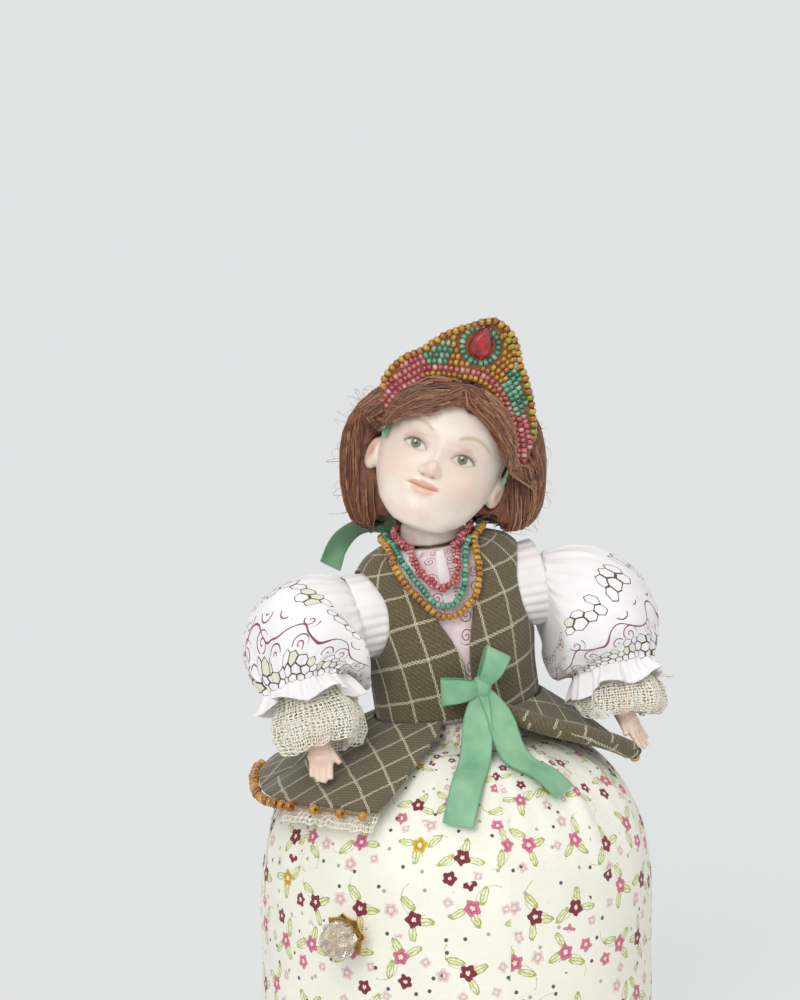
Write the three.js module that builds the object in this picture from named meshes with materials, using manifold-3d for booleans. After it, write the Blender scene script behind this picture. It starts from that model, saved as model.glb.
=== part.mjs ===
// Pincushion doll: a porcelain half doll in folk dress on a drum-shaped pincushion skirt.
// Millimetres, +Z up. The doll's front looks towards -Y and +X is at the viewer's right.
// The origin is the centre of the flat base. Angles round the doll count from her front,
// positive towards +X.

import * as THREE from "three";
import { mergeVertices } from "three/addons/utils/BufferGeometryUtils.js";
import Module from "manifold-3d";

const wasm = await Module();
wasm.setup();

const { cos, sin, sqrt, PI } = Math;
const rad = THREE.MathUtils.degToRad;
const V = (x, y, z) => new THREE.Vector3(x, y, z);
const FULL = 2 * PI;

// Clearances
const SEAT = 0.3; // between faces that rest on each other
const RUN = 0.4; // round a ball in its socket
const PIN_FIT = 0.2; // round the needle in its channel

// Cushion, from the floor up
const FELT_THICK = 1.2;
const FELT_R = 54;
const BOARD_THICK = 2;
const CUSHION_R = 63;
const CUSHION_TOP = 110;
const CUSHION_SHOULDER = 66; // where the straight side turns into the dome
const GATHERED_TOP_R = 22;
const HEM_TURN = 12; // cloth turned in under the board
const CORNER_R = 5;
const COVER_THICK = 0.8;
const GATHERS = 12;
const GATHER_DEPTH = 0.7;
const DOWEL_R = 4;
const DOWEL_TOP = 138;

// Upper body: it leans towards -X from the waist
const WAIST_Z = 118;
const LEAN = 8.4;
const BODY_RINGS = [
  // half width, half depth, height over the waist
  [24, 18, -1],
  [24, 19, 10],
  [25.5, 20, 23],
  [27, 19, 34.5],
  [26.5, 16, 43],
  [22, 12.5, 49.5],
  [14, 10, 53],
];
const BLOUSE_THICK = 0.8;
const VEST_THICK = 1.6;
const VEST_SIDE = 92; // side seams, degrees from the front
const ARMHOLE_R = 14.5;

// Peplum of the vest
const PEPLUM_R = 59.5;
const PEPLUM_SHIFT = -4.5; // its middle lies this far towards -X, as she leans
const PEPLUM_THICK = 1.4;
const PEPLUM_HEM_Z = 98;
const PEPLUM_TILT = 4.5; // degrees, its hem is higher at +X
const PEPLUM_BULGE = 0.5;
const PEPLUM_WAVE = 0.8;
const LACE_THICK = 0.8;
const LACE_DROP = 4;

// Neck and head
const NECK_AT = V(-7.7, 1, 184); // centre of the ball that carries the head
const NECK_R = 9.8;
const NECK_BALL_R = 9;
const HEAD_AT = V(-5.5, -0.3, 199);
const HEAD_YAW = -18.5; // degrees, turned to the viewer's left of her own front
const HEAD_PITCH = 8; // looks up
const HEAD_ROLL = 20; // top of the head towards +X
const HEAD_RINGS = [
  // half width, half depth, middle along y, height
  [2, 2, -12, -24.6],
  [8, 6.5, -10.5, -23.3],
  [13.8, 12, -6.5, -19],
  [18, 17, -2.5, -11],
  [19.8, 20, 0, -2],
  [20.6, 22, 1.5, 8],
  [18.6, 20.5, 2, 17],
  [12, 14, 2, 23],
  [2.5, 3, 2, 25.3],
];
const EAR = { x: 19.8, y: 1.5, z: -5.5, half: V(2.2, 4, 5.8) };
const NOSE = { y: -20.6, z: -4, half: V(2.7, 3, 3.2) };

// Hair
const CAP_THICK = 3.4;
const BOB_RINGS = [
  [28, 18, 8, -22.3],
  [31, 21, 7, -15],
  [31.5, 23, 6, -4],
  [30, 23, 6, 8],
  [24, 19, 6, 17],
  [12, 10, 6, 23],
];

// Headdress, drawn flat as seen from the front of the head: x, height
const CROWN_LOWER = [
  [-19.9, 9],
  [-18.7, 13.4],
  [-15.5, 17.9],
  [-12.3, 21.7],
  [-7.3, 23.6],
  [-2.6, 24.7],
  [1.9, 25.4],
  [6.4, 25.1],
  [10.8, 23.2],
  [14.9, 19.2],
  [18.2, 14.2],
  [20.6, 9.8],
  [21.5, 5.9],
];
const CROWN_UPPER = [
  [-24.3, 8.8],
  [-26, 17.3],
  [-22.9, 25.4],
  [-17.6, 30.6],
  [-12.3, 38],
  [-6.7, 42.6],
  [2.1, 47.9],
  [11.1, 44],
  [14.3, 38],
  [20.9, 29.6],
  [25.1, 21.9],
  [27.3, 15.6],
  [27.4, 7.4],
];
const CROWN_THICK = 1.4;
const CROWN_FRONT_Y = -13.3; // at its middle
const CROWN_SLANT = 0.05; // it sits turned a little, its -X end further forward
const CROWN_CURVE = 0.009; // how its ends bend back, per mm
const TEARDROP = { x: 1.2, z: 38.5, width: 7.4, height: 11.4, thick: 4.2 };
const RING_AT = [1.5, 37.2]; // middle of the beads round the teardrop
const RING_R = 5.3;

// Beads
const SEED_R = 1; // small seed beads
const SEED_PITCH = 2.15;
const AMBER_R = 1.25; // larger amber beads of the headdress and the long necklace
const AMBER_PITCH = 2.7;
const HEM_BEAD_R = 1.75;
const THREAD_R = 0.35;
const RIM_BAND = 2 * AMBER_R + SEED_R + 0.35; // a row of amber beads and half a seed bead
const RIM_FROM = 0.09; // along the headdress, where its rim of amber beads starts and ends
const RIM_TO = 0.87;
const BEAD_SIDES = 4;

// Necklaces: places round the throat, degrees from the front and how far up from the waist
const TWIST_R = 1.45; // two strings of pink seed beads twisted together
const TWIST_PITCH = 3;
const STRING_REST = 0.4; // from a string's beads to the cloth or the neck
const PINK_STRING = [
  [-100, 0.835], [-75, 0.81], [-55, 0.75], [-31.5, 0.598], [-18.8, 0.474], [-8, 0.418], [0, 0.444],
  [5, 0.534], [12, 0.7], [22, 0.76], [35, 0.795], [60, 0.82], [100, 0.84], [180, 0.84],
];
const GREEN_STRING = [
  [-150, 0.755], [-100, 0.745], [-78, 0.71], [-53.5, 0.628], [-35.8, 0.55], [-22.8, 0.444],
  [-13.5, 0.363], [-5, 0.353], [3.8, 0.4], [9.2, 0.485], [14, 0.555], [22, 0.605], [40, 0.68],
  [70, 0.73], [120, 0.745], [180, 0.765],
];
const AMBER_STRING = [
  [-150, 0.575], [-100, 0.59], [-76, 0.575], [-46, 0.53], [-35.5, 0.485], [-24.8, 0.396],
  [-14, 0.33], [-4.2, 0.323], [8, 0.355], [15, 0.41], [20, 0.465], [32, 0.54], [60, 0.58],
  [110, 0.59], [150, 0.575], [180, 0.55],
];

// Arms: the centre line of each sleeve and hand in the leaning frame
const SHOULDER = { x: 26, y: -1, z: 34.5 };
const ARM_BALL_R = 7;
const ARM_R = 4.6;
const SLEEVE_COLLAR_R = 12.5;
const SLEEVE_CLEAR = 30.7; // the sleeves stay this far out from her middle, clear of the vest
const SLEEVE_START = 27.7;
const SLEEVE_COLLAR_END = 33;
const LACE_CUFF_WALL = 1.2;
const ARM_LINES = {
  left: {
    side: -1,
    sleeve: [V(-27.7, -1, 34), V(-43, -5, 31.5), V(-51, -12.5, 23), V(-51.5, -16, 16)],
    cuff: [V(-50.8, -17, 14), V(-50.4, -19.5, 7), V(-51, -21.8, 0.2)],
    wrist: V(-50.8, -22.2, 3),
    fingertips: V(-54.3, -29.4, -9),
    thumbSide: V(1, -0.2, 0),
  },
  right: {
    side: 1,
    sleeve: [V(27.7, -1, 34), V(41, -6, 24.5), V(48.6, -12, 9), V(49.2, -15.3, 1)],
    cuff: [V(49.2, -16.2, -1.3), V(48.9, -17.2, -4.4), V(48, -17.9, -7.5)],
    wrist: V(47.8, -17.9, -7),
    fingertips: V(53.9, -23, -21),
    thumbSide: V(-0.7, -0.7, 0),
  },
};
const SLEEVE_PROFILE = [11.5, 16.5, 20.5, 23, 21, 15, 12.2, 15.2]; // radii from armhole to frill
const CUFF_PROFILE = [9, 15, 13.6, 8.6];
const HAND_HALF_WIDE = 4.6;
const HAND_HALF_THICK = 2.4;
const FINGER_R = 1.25;
const WRIST_TOP = 0.5; // the porcelain starts this far over the wrist point
const SLEEVE_FOLDS = 9;
const SLEEVE_FOLD_DEPTH = 0.9;
const CUFF_FOLDS = 8;
const CUFF_FOLD_DEPTH = 1;

// Waist bow, of ribbon
const RIBBON_WIDTH = 10;
const RIBBON_THICK = 0.7;
const KNOT_AT = V(0.4, -26.2, 128.6);

// Decorative pin, stuck in at the front left of the skirt
const PIN_ANGLE = -46; // round the skirt, degrees from the front
const PIN_Z = 58;
const PIN_TILT = 12; // degrees, its outer end droops
const NEEDLE_R = 0.4;
const NEEDLE_DEEP = 34; // inside the cushion
const CAP_OUT = 3; // foot of the gilt cap over the cloth
const CAP_R = 7;
const CAP_RISE = 2.6;
const CAP_THICK_GILT = 0.7;
const CAP_PETALS = 8;
const CRYSTAL_R = 6.5;
const CRYSTAL_LENGTH = 12.6;
const CRYSTAL_OUT = CAP_OUT + CAP_THICK_GILT + SEAT + CRYSTAL_LENGTH / 2; // its middle

// Solids and surfaces

// A closed mesh as a solid, to join or cut
function toSolid(geometry) {
  const bare = new THREE.BufferGeometry();
  bare.setAttribute("position", geometry.getAttribute("position").clone());
  if (geometry.index) bare.setIndex(geometry.index.clone());
  const merged = mergeVertices(bare, 1e-4);
  return new wasm.Manifold(
    new wasm.Mesh({
      numProp: 3,
      vertProperties: merged.getAttribute("position").array,
      triVerts: new Uint32Array(merged.index.array),
    }),
  );
}

function fromSolid(solid) {
  const mesh = solid.getMesh();
  const geometry = new THREE.BufferGeometry();
  geometry.setAttribute("position", new THREE.BufferAttribute(mesh.vertProperties, 3));
  geometry.setIndex(new THREE.BufferAttribute(mesh.triVerts, 1));
  geometry.computeVertexNormals();
  return geometry;
}

function cut(geometry, ...cutters) {
  return fromSolid(cutters.reduce((s, c) => s.subtract(toSolid(c)), toSolid(geometry)));
}

function join(...geometries) {
  return fromSolid(geometries.map(toSolid).reduce((a, b) => a.add(b)));
}

function volumeOf(positions, index) {
  const a = V(0, 0, 0);
  const b = V(0, 0, 0);
  const c = V(0, 0, 0);
  let sum = 0;
  for (let i = 0; i < index.length; i += 3) {
    a.fromArray(positions, 3 * index[i]);
    b.fromArray(positions, 3 * index[i + 1]);
    c.fromArray(positions, 3 * index[i + 2]);
    sum += a.dot(b.cross(c));
  }
  return sum / 6;
}

// Vertices and faces as a geometry whose faces point out
function closed(points, faces) {
  const positions = new Float32Array(points.flatMap((p) => [p.x, p.y, p.z]));
  let index = faces.flat();
  if (volumeOf(positions, index) < 0) index = index.reverse();
  const geometry = new THREE.BufferGeometry();
  geometry.setAttribute("position", new THREE.BufferAttribute(positions, 3));
  geometry.setIndex(index);
  geometry.computeVertexNormals();
  return geometry;
}

// A cloth or wall: an outer and an inner face over u, v in 0..1, closed at its edges.
// wrap joins u = 1 to u = 0.
function shell(outer, inner, nu, nv, wrap = false) {
  const across = wrap ? nu : nu + 1;
  const points = [];
  for (const face of [outer, inner])
    for (let j = 0; j <= nv; j++) for (let i = 0; i < across; i++) points.push(face(i / nu, j / nv));
  const side = across * (nv + 1);
  const at = (k, i, j) => k * side + j * across + (i % across);
  const faces = [];
  const quad = (a, b, c, d) => faces.push([a, b, c], [a, c, d]);
  for (let i = 0; i < nu; i++) {
    for (let j = 0; j < nv; j++) {
      quad(at(0, i, j), at(0, i + 1, j), at(0, i + 1, j + 1), at(0, i, j + 1));
      quad(at(1, i, j), at(1, i, j + 1), at(1, i + 1, j + 1), at(1, i + 1, j));
    }
    quad(at(0, i + 1, 0), at(0, i, 0), at(1, i, 0), at(1, i + 1, 0));
    quad(at(0, i, nv), at(0, i + 1, nv), at(1, i + 1, nv), at(1, i, nv));
  }
  if (!wrap)
    for (let j = 0; j < nv; j++) {
      quad(at(0, 0, j), at(0, 0, j + 1), at(1, 0, j + 1), at(1, 0, j));
      quad(at(0, nu, j + 1), at(0, nu, j), at(1, nu, j), at(1, nu, j + 1));
    }
  return closed(points, faces);
}

// A solid round u, from v = 0 to v = 1, closed by flat fans at both ends
function lump(surface, nu, nv) {
  const points = [];
  for (let j = 0; j <= nv; j++) for (let i = 0; i < nu; i++) points.push(surface(i / nu, j / nv));
  const faces = [];
  for (let j = 0; j < nv; j++)
    for (let i = 0; i < nu; i++) {
      const a = j * nu + i;
      const b = j * nu + ((i + 1) % nu);
      faces.push([a, b, b + nu], [a, b + nu, a + nu]);
    }
  for (const j of [0, nv]) {
    const middle = V(0, 0, 0);
    for (let i = 0; i < nu; i++) middle.addScaledVector(points[j * nu + i], 1 / nu);
    points.push(middle);
    for (let i = 0; i < nu; i++) {
      const a = j * nu + i;
      const b = j * nu + ((i + 1) % nu);
      faces.push(j ? [a, b, points.length - 1] : [b, a, points.length - 1]);
    }
  }
  return closed(points, faces);
}

// Rows of numbers as a smooth function of v in 0..1
function smooth(rows) {
  const curves = rows[0].map(
    (_, k) => new THREE.CatmullRomCurve3(rows.map((row, i) => V(i / (rows.length - 1), row[k], 0))),
  );
  return (v) => curves.map((curve) => curve.getPoint(THREE.MathUtils.clamp(v, 0, 1)).y);
}

// The face a given way off a surface, square to it
function offset(surface, away) {
  const step = 1e-3;
  return (u, v) => {
    const v0 = Math.max(v - step, 0);
    const v1 = Math.min(v + step, 1);
    const du = surface(u + step, v).sub(surface(u - step, v));
    const dv = surface(u, v1).sub(surface(u, v0));
    return surface(u, v).addScaledVector(du.cross(dv).normalize(), away);
  };
}

function ellipsoid(at, half, nu = 10, nv = 6) {
  const ball = new THREE.SphereGeometry(1, nu, nv);
  ball.scale(half.x, half.y, half.z);
  return ball.translate(at.x, at.y, at.z);
}

function ball(at, radius, nu = 20, nv = 12) {
  return ellipsoid(at, V(radius, radius, radius), nu, nv);
}

// A round solid between two points
function rod(from, to, radius, sides = 12, endRadius = radius) {
  const along = to.clone().sub(from);
  const body = new THREE.CylinderGeometry(endRadius, radius, along.length(), sides);
  body.applyQuaternion(new THREE.Quaternion().setFromUnitVectors(V(0, 1, 0), along.clone().normalize()));
  const middle = from.clone().add(to).multiplyScalar(0.5);
  return body.translate(middle.x, middle.y, middle.z);
}

// Round sections along a line: radius(u, v) may fold with the turn u
function sleeveSurface(points, radius) {
  const line = new THREE.CatmullRomCurve3(points);
  return (u, v) => {
    const along = line.getTangent(v);
    const a = V(0, 1, 0).cross(along).normalize();
    const b = along.clone().cross(a);
    const r = radius(u, v);
    const turn = 2 * PI * u;
    return line.getPoint(v).addScaledVector(a, r * cos(turn)).addScaledVector(b, r * sin(turn));
  };
}

// A flat strip of ribbon through points, each with the direction across its width
function ribbon(points, acrosses, width, steps, thick = RIBBON_THICK) {
  const line = new THREE.CatmullRomCurve3(points);
  const side = new THREE.CatmullRomCurve3(acrosses);
  const face = (u, v) => line.getPoint(v).addScaledVector(side.getPoint(v).normalize(), width(v) * (u - 0.5));
  return shell(offset(face, thick / 2), offset(face, -thick / 2), 1, steps);
}

// Beads on a thread: one solid through the bead centres; out gives each bead's outward direction
function beadString(centres, out, radius, isLoop = false) {
  const count = centres.length;
  const rings = [];
  for (let i = 0; i < count; i++) {
    const before = centres[isLoop ? (i + count - 1) % count : Math.max(i - 1, 0)];
    const after = centres[isLoop ? (i + 1) % count : Math.min(i + 1, count - 1)];
    const along = after.clone().sub(before).normalize();
    const a = out[i].clone().addScaledVector(along, -out[i].dot(along)).normalize();
    const b = along.clone().cross(a);
    const hole = radius * 0.92;
    for (const [shift, r] of [[-hole, THREAD_R], [0, radius], [hole, THREAD_R]])
      rings.push({ at: centres[i].clone().addScaledVector(along, shift), a, b, r });
  }
  const close = rings.filter((ring, k) => {
    if (k % 3 !== 2 || (k === rings.length - 1 && !isLoop)) return true;
    return ring.at.distanceTo(rings[(k + 1) % rings.length].at) > radius;
  });
  const surface = (u, v) => {
    const ring = close[Math.round(v * (isLoop ? close.length : close.length - 1)) % close.length];
    const turn = 2 * PI * u;
    return ring.at
      .clone()
      .addScaledVector(ring.a, ring.r * cos(turn))
      .addScaledVector(ring.b, ring.r * sin(turn));
  };
  if (!isLoop) return lump(surface, BEAD_SIDES, close.length - 1);
  return torus(surface, BEAD_SIDES, close.length);
}

// A closed ring: u round the section, v along
function torus(surface, nu, nv) {
  const points = [];
  for (let j = 0; j < nv; j++) for (let i = 0; i < nu; i++) points.push(surface(i / nu, j / nv));
  const faces = [];
  for (let j = 0; j < nv; j++)
    for (let i = 0; i < nu; i++) {
      const a = j * nu + i;
      const b = j * nu + ((i + 1) % nu);
      const c = ((j + 1) % nv) * nu + ((i + 1) % nu);
      const d = ((j + 1) % nv) * nu + i;
      faces.push([a, b, c], [a, c, d]);
    }
  return closed(points, faces);
}

// Points at an even spacing along a curve
function spaced(curve, pitch) {
  const count = Math.max(2, Math.round(curve.getLength() / pitch));
  return curve.getSpacedPoints(count - 1);
}

// Materials
function finish(color, roughness, metalness = 0) {
  return new THREE.MeshStandardMaterial({ color, roughness, metalness });
}
const felt = finish("#e8e2d0", 0.95);
const card = finish("#b8a688", 0.9);
const filling = finish("#f0eee6", 0.95);
const floralCotton = finish("#f5f3e6", 0.85);
const wood = finish("#c9a46c", 0.6);
const calico = finish("#ded2bd", 0.9);
const lilacCotton = finish("#d3b3ab", 0.85);
const twill = finish("#5f523c", 0.9);
const lace = finish("#e6dcc0", 0.9);
const whiteCotton = finish("#f0ebe8", 0.85);
const porcelain = finish("#ebe1d4", 0.45);
const mohair = finish("#78462d", 0.8);
const satin = finish("#6fae83", 0.35);
const pinkGlass = finish("#d8606a", 0.2);
const tealGlass = finish("#2f9c84", 0.2);
const amberGlass = finish("#c98a1e", 0.2);
const redGlass = finish("#c1121f", 0.05);
const clearGlass = finish("#cfc3a8", 0.05);
const gilt = finish("#d9a93c", 0.3, 1);
const steel = finish("#b9bcc0", 0.3, 1);

const doll = new THREE.Group();
const lean = new THREE.Group();
lean.position.set(0, 0, WAIST_Z);
lean.rotation.y = -rad(LEAN);
const head = new THREE.Group();
head.position.copy(HEAD_AT);
const yaw = new THREE.Matrix4().makeRotationZ(rad(HEAD_YAW));
const roll = new THREE.Matrix4().makeRotationY(rad(HEAD_ROLL));
const pitch = new THREE.Matrix4().makeRotationX(-rad(HEAD_PITCH));
head.quaternion.setFromRotationMatrix(yaw.multiply(roll).multiply(pitch));
doll.add(lean, head);
doll.updateMatrixWorld(true);

function add(group, name, geometry, material) {
  const mesh = new THREE.Mesh(geometry, material);
  mesh.name = name;
  group.add(mesh);
}

// A geometry drawn in one group's frame, as it stands in another's
function across(geometry, from, to) {
  const change = to.matrixWorld.clone().invert().multiply(from.matrixWorld);
  return geometry.clone().applyMatrix4(change);
}

// Cushion

// Profile of the cushion, inset by a given thickness: radius and height, from the turned-in hem up
function cushionProfile(inset) {
  const foot = FELT_THICK + SEAT + inset;
  const side = CUSHION_R - inset;
  const corner = CORNER_R - inset;
  const points = [[side - HEM_TURN, foot]];
  for (const angle of [0, 45, 90])
    points.push([side - corner + corner * sin(rad(angle)), foot + corner - corner * cos(rad(angle))]);
  points.push([side, (foot + corner + CUSHION_SHOULDER) / 2]);
  const rise = CUSHION_TOP - inset - CUSHION_SHOULDER;
  for (const angle of [0, 20, 38, 56, 73, 90].map(rad))
    points.push([
      GATHERED_TOP_R + (side - GATHERED_TOP_R) * cos(angle),
      CUSHION_SHOULDER + rise * sin(angle),
    ]);
  return points;
}

// The cover's gathers are deep at the waist, shallow down the side
function gather(turn, height) {
  const depth = GATHER_DEPTH * (0.25 + 0.75 * THREE.MathUtils.smoothstep(height, 30, CUSHION_TOP));
  return depth * (cos(GATHERS * turn) + 0.3 * cos((GATHERS - 5) * turn + 1)) - GATHER_DEPTH;
}

function cushionSurface(inset) {
  const profile = cushionProfile(inset);
  const flatRings = 2; // under the board the cloth lies flat
  return (u, v) => {
    const ring = Math.round(v * (profile.length - 1));
    const [radius, z] = profile[ring];
    const turn = FULL * u;
    const r = radius + (ring > flatRings ? gather(turn, z) : 0);
    return V(r * sin(turn), -r * cos(turn), z);
  };
}

const pinTurn = rad(PIN_ANGLE);
const pinOut = V(sin(pinTurn), -cos(pinTurn), -Math.tan(rad(PIN_TILT))).normalize();
const pinFoot = V(CUSHION_R * sin(pinTurn), -CUSHION_R * cos(pinTurn), PIN_Z);
const pinPoint = (out) => pinFoot.clone().addScaledVector(pinOut, out);
const pinChannel = rod(pinPoint(-NEEDLE_DEEP - 1), pinPoint(5), NEEDLE_R + PIN_FIT, 8);

const coverFoot = FELT_THICK + SEAT;
const boardFoot = coverFoot + COVER_THICK + SEAT;
const boardTop = boardFoot + BOARD_THICK;
const boardR = CUSHION_R - CORNER_R - COVER_THICK;
add(doll, "base_felt", rod(V(0, 0, 0), V(0, 0, FELT_THICK), FELT_R, 48), felt);
const dowelHole = rod(V(0, 0, -1), V(0, 0, WAIST_Z), DOWEL_R + SEAT, 12);
add(doll, "base_board", rod(V(0, 0, boardFoot), V(0, 0, boardTop), boardR, 40), card);

const coverRings = cushionProfile(0).length - 1;
const cover = shell(cushionSurface(0), cushionSurface(COVER_THICK), 3 * GATHERS, coverRings, true);
add(doll, "skirt_cover", cut(cover, pinChannel), floralCotton);

// The stuffing fills the cover above the board, clear of its gathers
const stuffingInset = COVER_THICK + SEAT;
const stuffingRings = [[boardR - SEAT, boardTop + SEAT]].concat(
  cushionProfile(stuffingInset)
    .slice(4)
    .map(([r, z]) => [r - 2 * GATHER_DEPTH, z - SEAT]),
);
stuffingRings.splice(1, 0, [CUSHION_R - stuffingInset - 2 * GATHER_DEPTH, FELT_THICK + 2 * CORNER_R]);
function stuffingPoint(u, v) {
  const [r, z] = stuffingRings[Math.round(v * (stuffingRings.length - 1))];
  return V(r * sin(FULL * u), -r * cos(FULL * u), z);
}
const stuffing = lump(stuffingPoint, 3 * GATHERS, stuffingRings.length - 1);
add(doll, "cushion_stuffing", cut(stuffing, dowelHole, pinChannel), filling);
add(doll, "support_dowel", rod(V(0, 0, boardTop + SEAT), V(0, 0, DOWEL_TOP), DOWEL_R, 12), wood);

// Upper body

const bodyAt = smooth(BODY_RINGS);
function bodySurface(u, v) {
  const [halfWidth, halfDepth, z] = bodyAt(v);
  return V(halfWidth * sin(FULL * u), -halfDepth * cos(FULL * u), z);
}
const shoulderAt = (side) => V(side * SHOULDER.x, SHOULDER.y, SHOULDER.z);
const armSockets = [-1, 1].map((side) => ball(shoulderAt(side), ARM_BALL_R + RUN, 12, 8));
const armholes = [-1, 1].map((side) => ball(shoulderAt(side), ARMHOLE_R, 14, 8));

const blouseIn = 1.3 * SEAT;
const blouseOut = blouseIn + BLOUSE_THICK;
const vestIn = blouseOut + SEAT;
const vestOut = vestIn + VEST_THICK;

const NECK_PEG_R = 5.5;
const NECK_PEG_FOOT = 40;
const neckPeg = rod(V(0, NECK_AT.y, NECK_PEG_FOOT), V(0, NECK_AT.y, 56), NECK_PEG_R, 12);
const neckPegHole = rod(V(0, NECK_AT.y, NECK_PEG_FOOT - SEAT), V(0, NECK_AT.y, 60), NECK_PEG_R + SEAT, 12);
const dowelTopHole = across(rod(V(0, 0, 100), V(0, 0, DOWEL_TOP + SEAT), DOWEL_R + SEAT, 12), doll, lean);
add(lean, "torso", cut(lump(bodySurface, 22, 8), ...armSockets, neckPegHole, dowelTopHole), calico);

const blouse = shell(offset(bodySurface, blouseOut), offset(bodySurface, blouseIn), 22, 8, true);
add(lean, "blouse", cut(blouse, ...armholes), lilacCotton);

// Vest panels: between two edges given in degrees at each height
function bodyPanel(fromEdge, toEdge, v0, v1, nu, nv) {
  const face = (away) => {
    const far = offset(bodySurface, away);
    return (u, v) => far((fromEdge(v) + (toEdge(v) - fromEdge(v)) * u) / 360, v0 + (v1 - v0) * v);
  };
  return shell(face(vestOut), face(vestIn), nu, nv);
}
const VEST_LOW = 0.02;
const VEST_HIGH = 0.985;
const necklineLeft = smooth([[-1], [-3.5], [-17.5], [-37], [-74]]);
const necklineRight = smooth([[1], [1.2], [9.5], [23], [31]]);
const seamGap = 0.35; // degrees each side of a seam
const leftFront = bodyPanel(
  () => -VEST_SIDE + seamGap,
  (v) => necklineLeft(v)[0],
  VEST_LOW,
  VEST_HIGH,
  8,
  8,
);
const rightFront = bodyPanel(
  (v) => necklineRight(v)[0],
  () => VEST_SIDE - seamGap,
  VEST_LOW,
  VEST_HIGH,
  8,
  8,
);
const back = bodyPanel(
  () => VEST_SIDE + seamGap,
  () => 360 - VEST_SIDE - seamGap,
  VEST_LOW,
  VEST_HIGH,
  11,
  8,
);
add(lean, "vest_left_front", cut(leftFront, ...armholes), twill);
add(lean, "vest_right_front", cut(rightFront, ...armholes), twill);
add(lean, "vest_back", cut(back, ...armholes), twill);

// Peplum: from the vest's lower edge out to the hem
function peplumSurface(turn, v) {
  const [halfWidth, halfDepth, low] = bodyAt(VEST_LOW);
  const top = V((halfWidth + vestOut) * sin(turn), -(halfDepth + vestOut) * cos(turn), low - SEAT - 0.6);
  top.applyMatrix4(lean.matrixWorld);
  const wave = 1 + (PEPLUM_WAVE / PEPLUM_R) * cos(6 * turn + 1);
  const hem = V(PEPLUM_SHIFT + PEPLUM_R * wave * sin(turn), -PEPLUM_R * wave * cos(turn), PEPLUM_HEM_Z);
  hem.z += hem.x * Math.tan(rad(PEPLUM_TILT)) + PEPLUM_WAVE * cos(6 * turn);
  const p = top.lerp(hem, v);
  p.z += PEPLUM_BULGE * sin(PI * v);
  return p;
}
function peplumPanel(fromEdge, toEdge, nu, nv) {
  const face = (u, v) => peplumSurface(rad(fromEdge(v) + (toEdge(v) - fromEdge(v)) * u), v);
  return shell(offset(face, 0), offset(face, -PEPLUM_THICK), nu, nv);
}
const peplumSide = 95;
const peplumLeftEdge = (v) => -22 - 14 * v;
const peplumRightEdge = (v) => 8 + 60 * v ** 0.7;
const leftPeplum = peplumPanel(() => -peplumSide + seamGap, peplumLeftEdge, 10, 5);
const rightPeplum = peplumPanel(peplumRightEdge, () => peplumSide - seamGap, 8, 5);
const backPeplum = peplumPanel(() => peplumSide + seamGap, () => 360 - peplumSide - seamGap, 16, 5);
add(doll, "peplum_left", leftPeplum, twill);
add(doll, "peplum_right", rightPeplum, twill);
add(doll, "peplum_back", backPeplum, twill);

// Lace under the hem of the left panel
function laceSurface(turn, v) {
  const under = offset(peplumSurface, SEAT);
  const hanging = V(sin(turn), -cos(turn), -1.4).normalize();
  const drop = LACE_DROP + 0.5 * cos(40 * turn); // its edge is scalloped
  return under(turn, 0.86 + 0.14 * v).addScaledVector(hanging, drop * v * v);
}
function lacePanel(from, to, nu, nv) {
  const face = (u, v) => laceSurface(rad(from + (to - from) * u), v);
  return shell(face, offset(face, LACE_THICK), nu, nv);
}

// Neck
const NECK_FOOT = 53; // on the body, under the blouse's top edge
const NECK_BEND = 60; // where it turns upright
const NECK_TOP_Z = 177.5;
const HEAD_FOOT_Z = 150; // the head is hollowed out for the neck from below this
const neckFoot = V(0, NECK_AT.y, NECK_FOOT + blouseOut);
const neckBase = rod(neckFoot, V(0, NECK_AT.y, NECK_BEND), NECK_R + 0.8, 16, NECK_R);
const neckParts = [neckPeg, neckBase].map((g) => across(g, lean, doll));
const neckAxis = (z) => V(NECK_AT.x, NECK_AT.y, z);
const neckColumn = rod(neckAxis(NECK_TOP_Z - 4), neckAxis(NECK_TOP_Z), NECK_R, 16);
const neckBall = ball(NECK_AT, NECK_BALL_R, 16, 8);
add(doll, "neck", join(...neckParts, neckColumn, neckBall), porcelain);

// Necklaces: three strings that lie on the blouse and vest in front and round the neck behind
const throatRings = smooth([...BODY_RINGS, [11.2, 10, 55.5], [NECK_R, NECK_R, 59], [NECK_R, NECK_R, 64]]);
function throatSurface(u, v) {
  const [halfWidth, halfDepth, z] = throatRings(v);
  return V(halfWidth * sin(FULL * u), NECK_AT.y * v - halfDepth * cos(FULL * u), z);
}
// A string through places round the throat: degrees from the front, and how far up
function neckString(places, radius) {
  const onVest = offset(throatSurface, vestOut + STRING_REST + radius);
  const onNeck = offset(throatSurface, STRING_REST + radius);
  const [[firstTurn, firstV]] = places;
  const around = [...places, [firstTurn + 360, firstV]].map(([turn, v]) => V(turn / 360, v, 0));
  const course = new THREE.CatmullRomCurve3(around).getPoints(90).slice(0, -1);
  const points = course.map(({ x: u, y: v }) => {
    const ontoNeck = THREE.MathUtils.smoothstep(v, 0.72, 0.86);
    return onVest(u, v).lerp(onNeck(u, v), ontoNeck);
  });
  return new THREE.CatmullRomCurve3(points, true);
}
function necklace(places, radius, pitch) {
  const curve = neckString(places, radius);
  const count = Math.round(curve.getLength() / pitch);
  const centres = curve.getSpacedPoints(count).slice(0, count);
  const out = centres.map((p) => V(p.x, p.y, 12).normalize());
  return beadString(centres, out, radius, true);
}
add(lean, "necklace_pink", necklace(PINK_STRING, TWIST_R, TWIST_PITCH), pinkGlass);
add(lean, "necklace_green", necklace(GREEN_STRING, SEED_R, SEED_PITCH), tealGlass);
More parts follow.
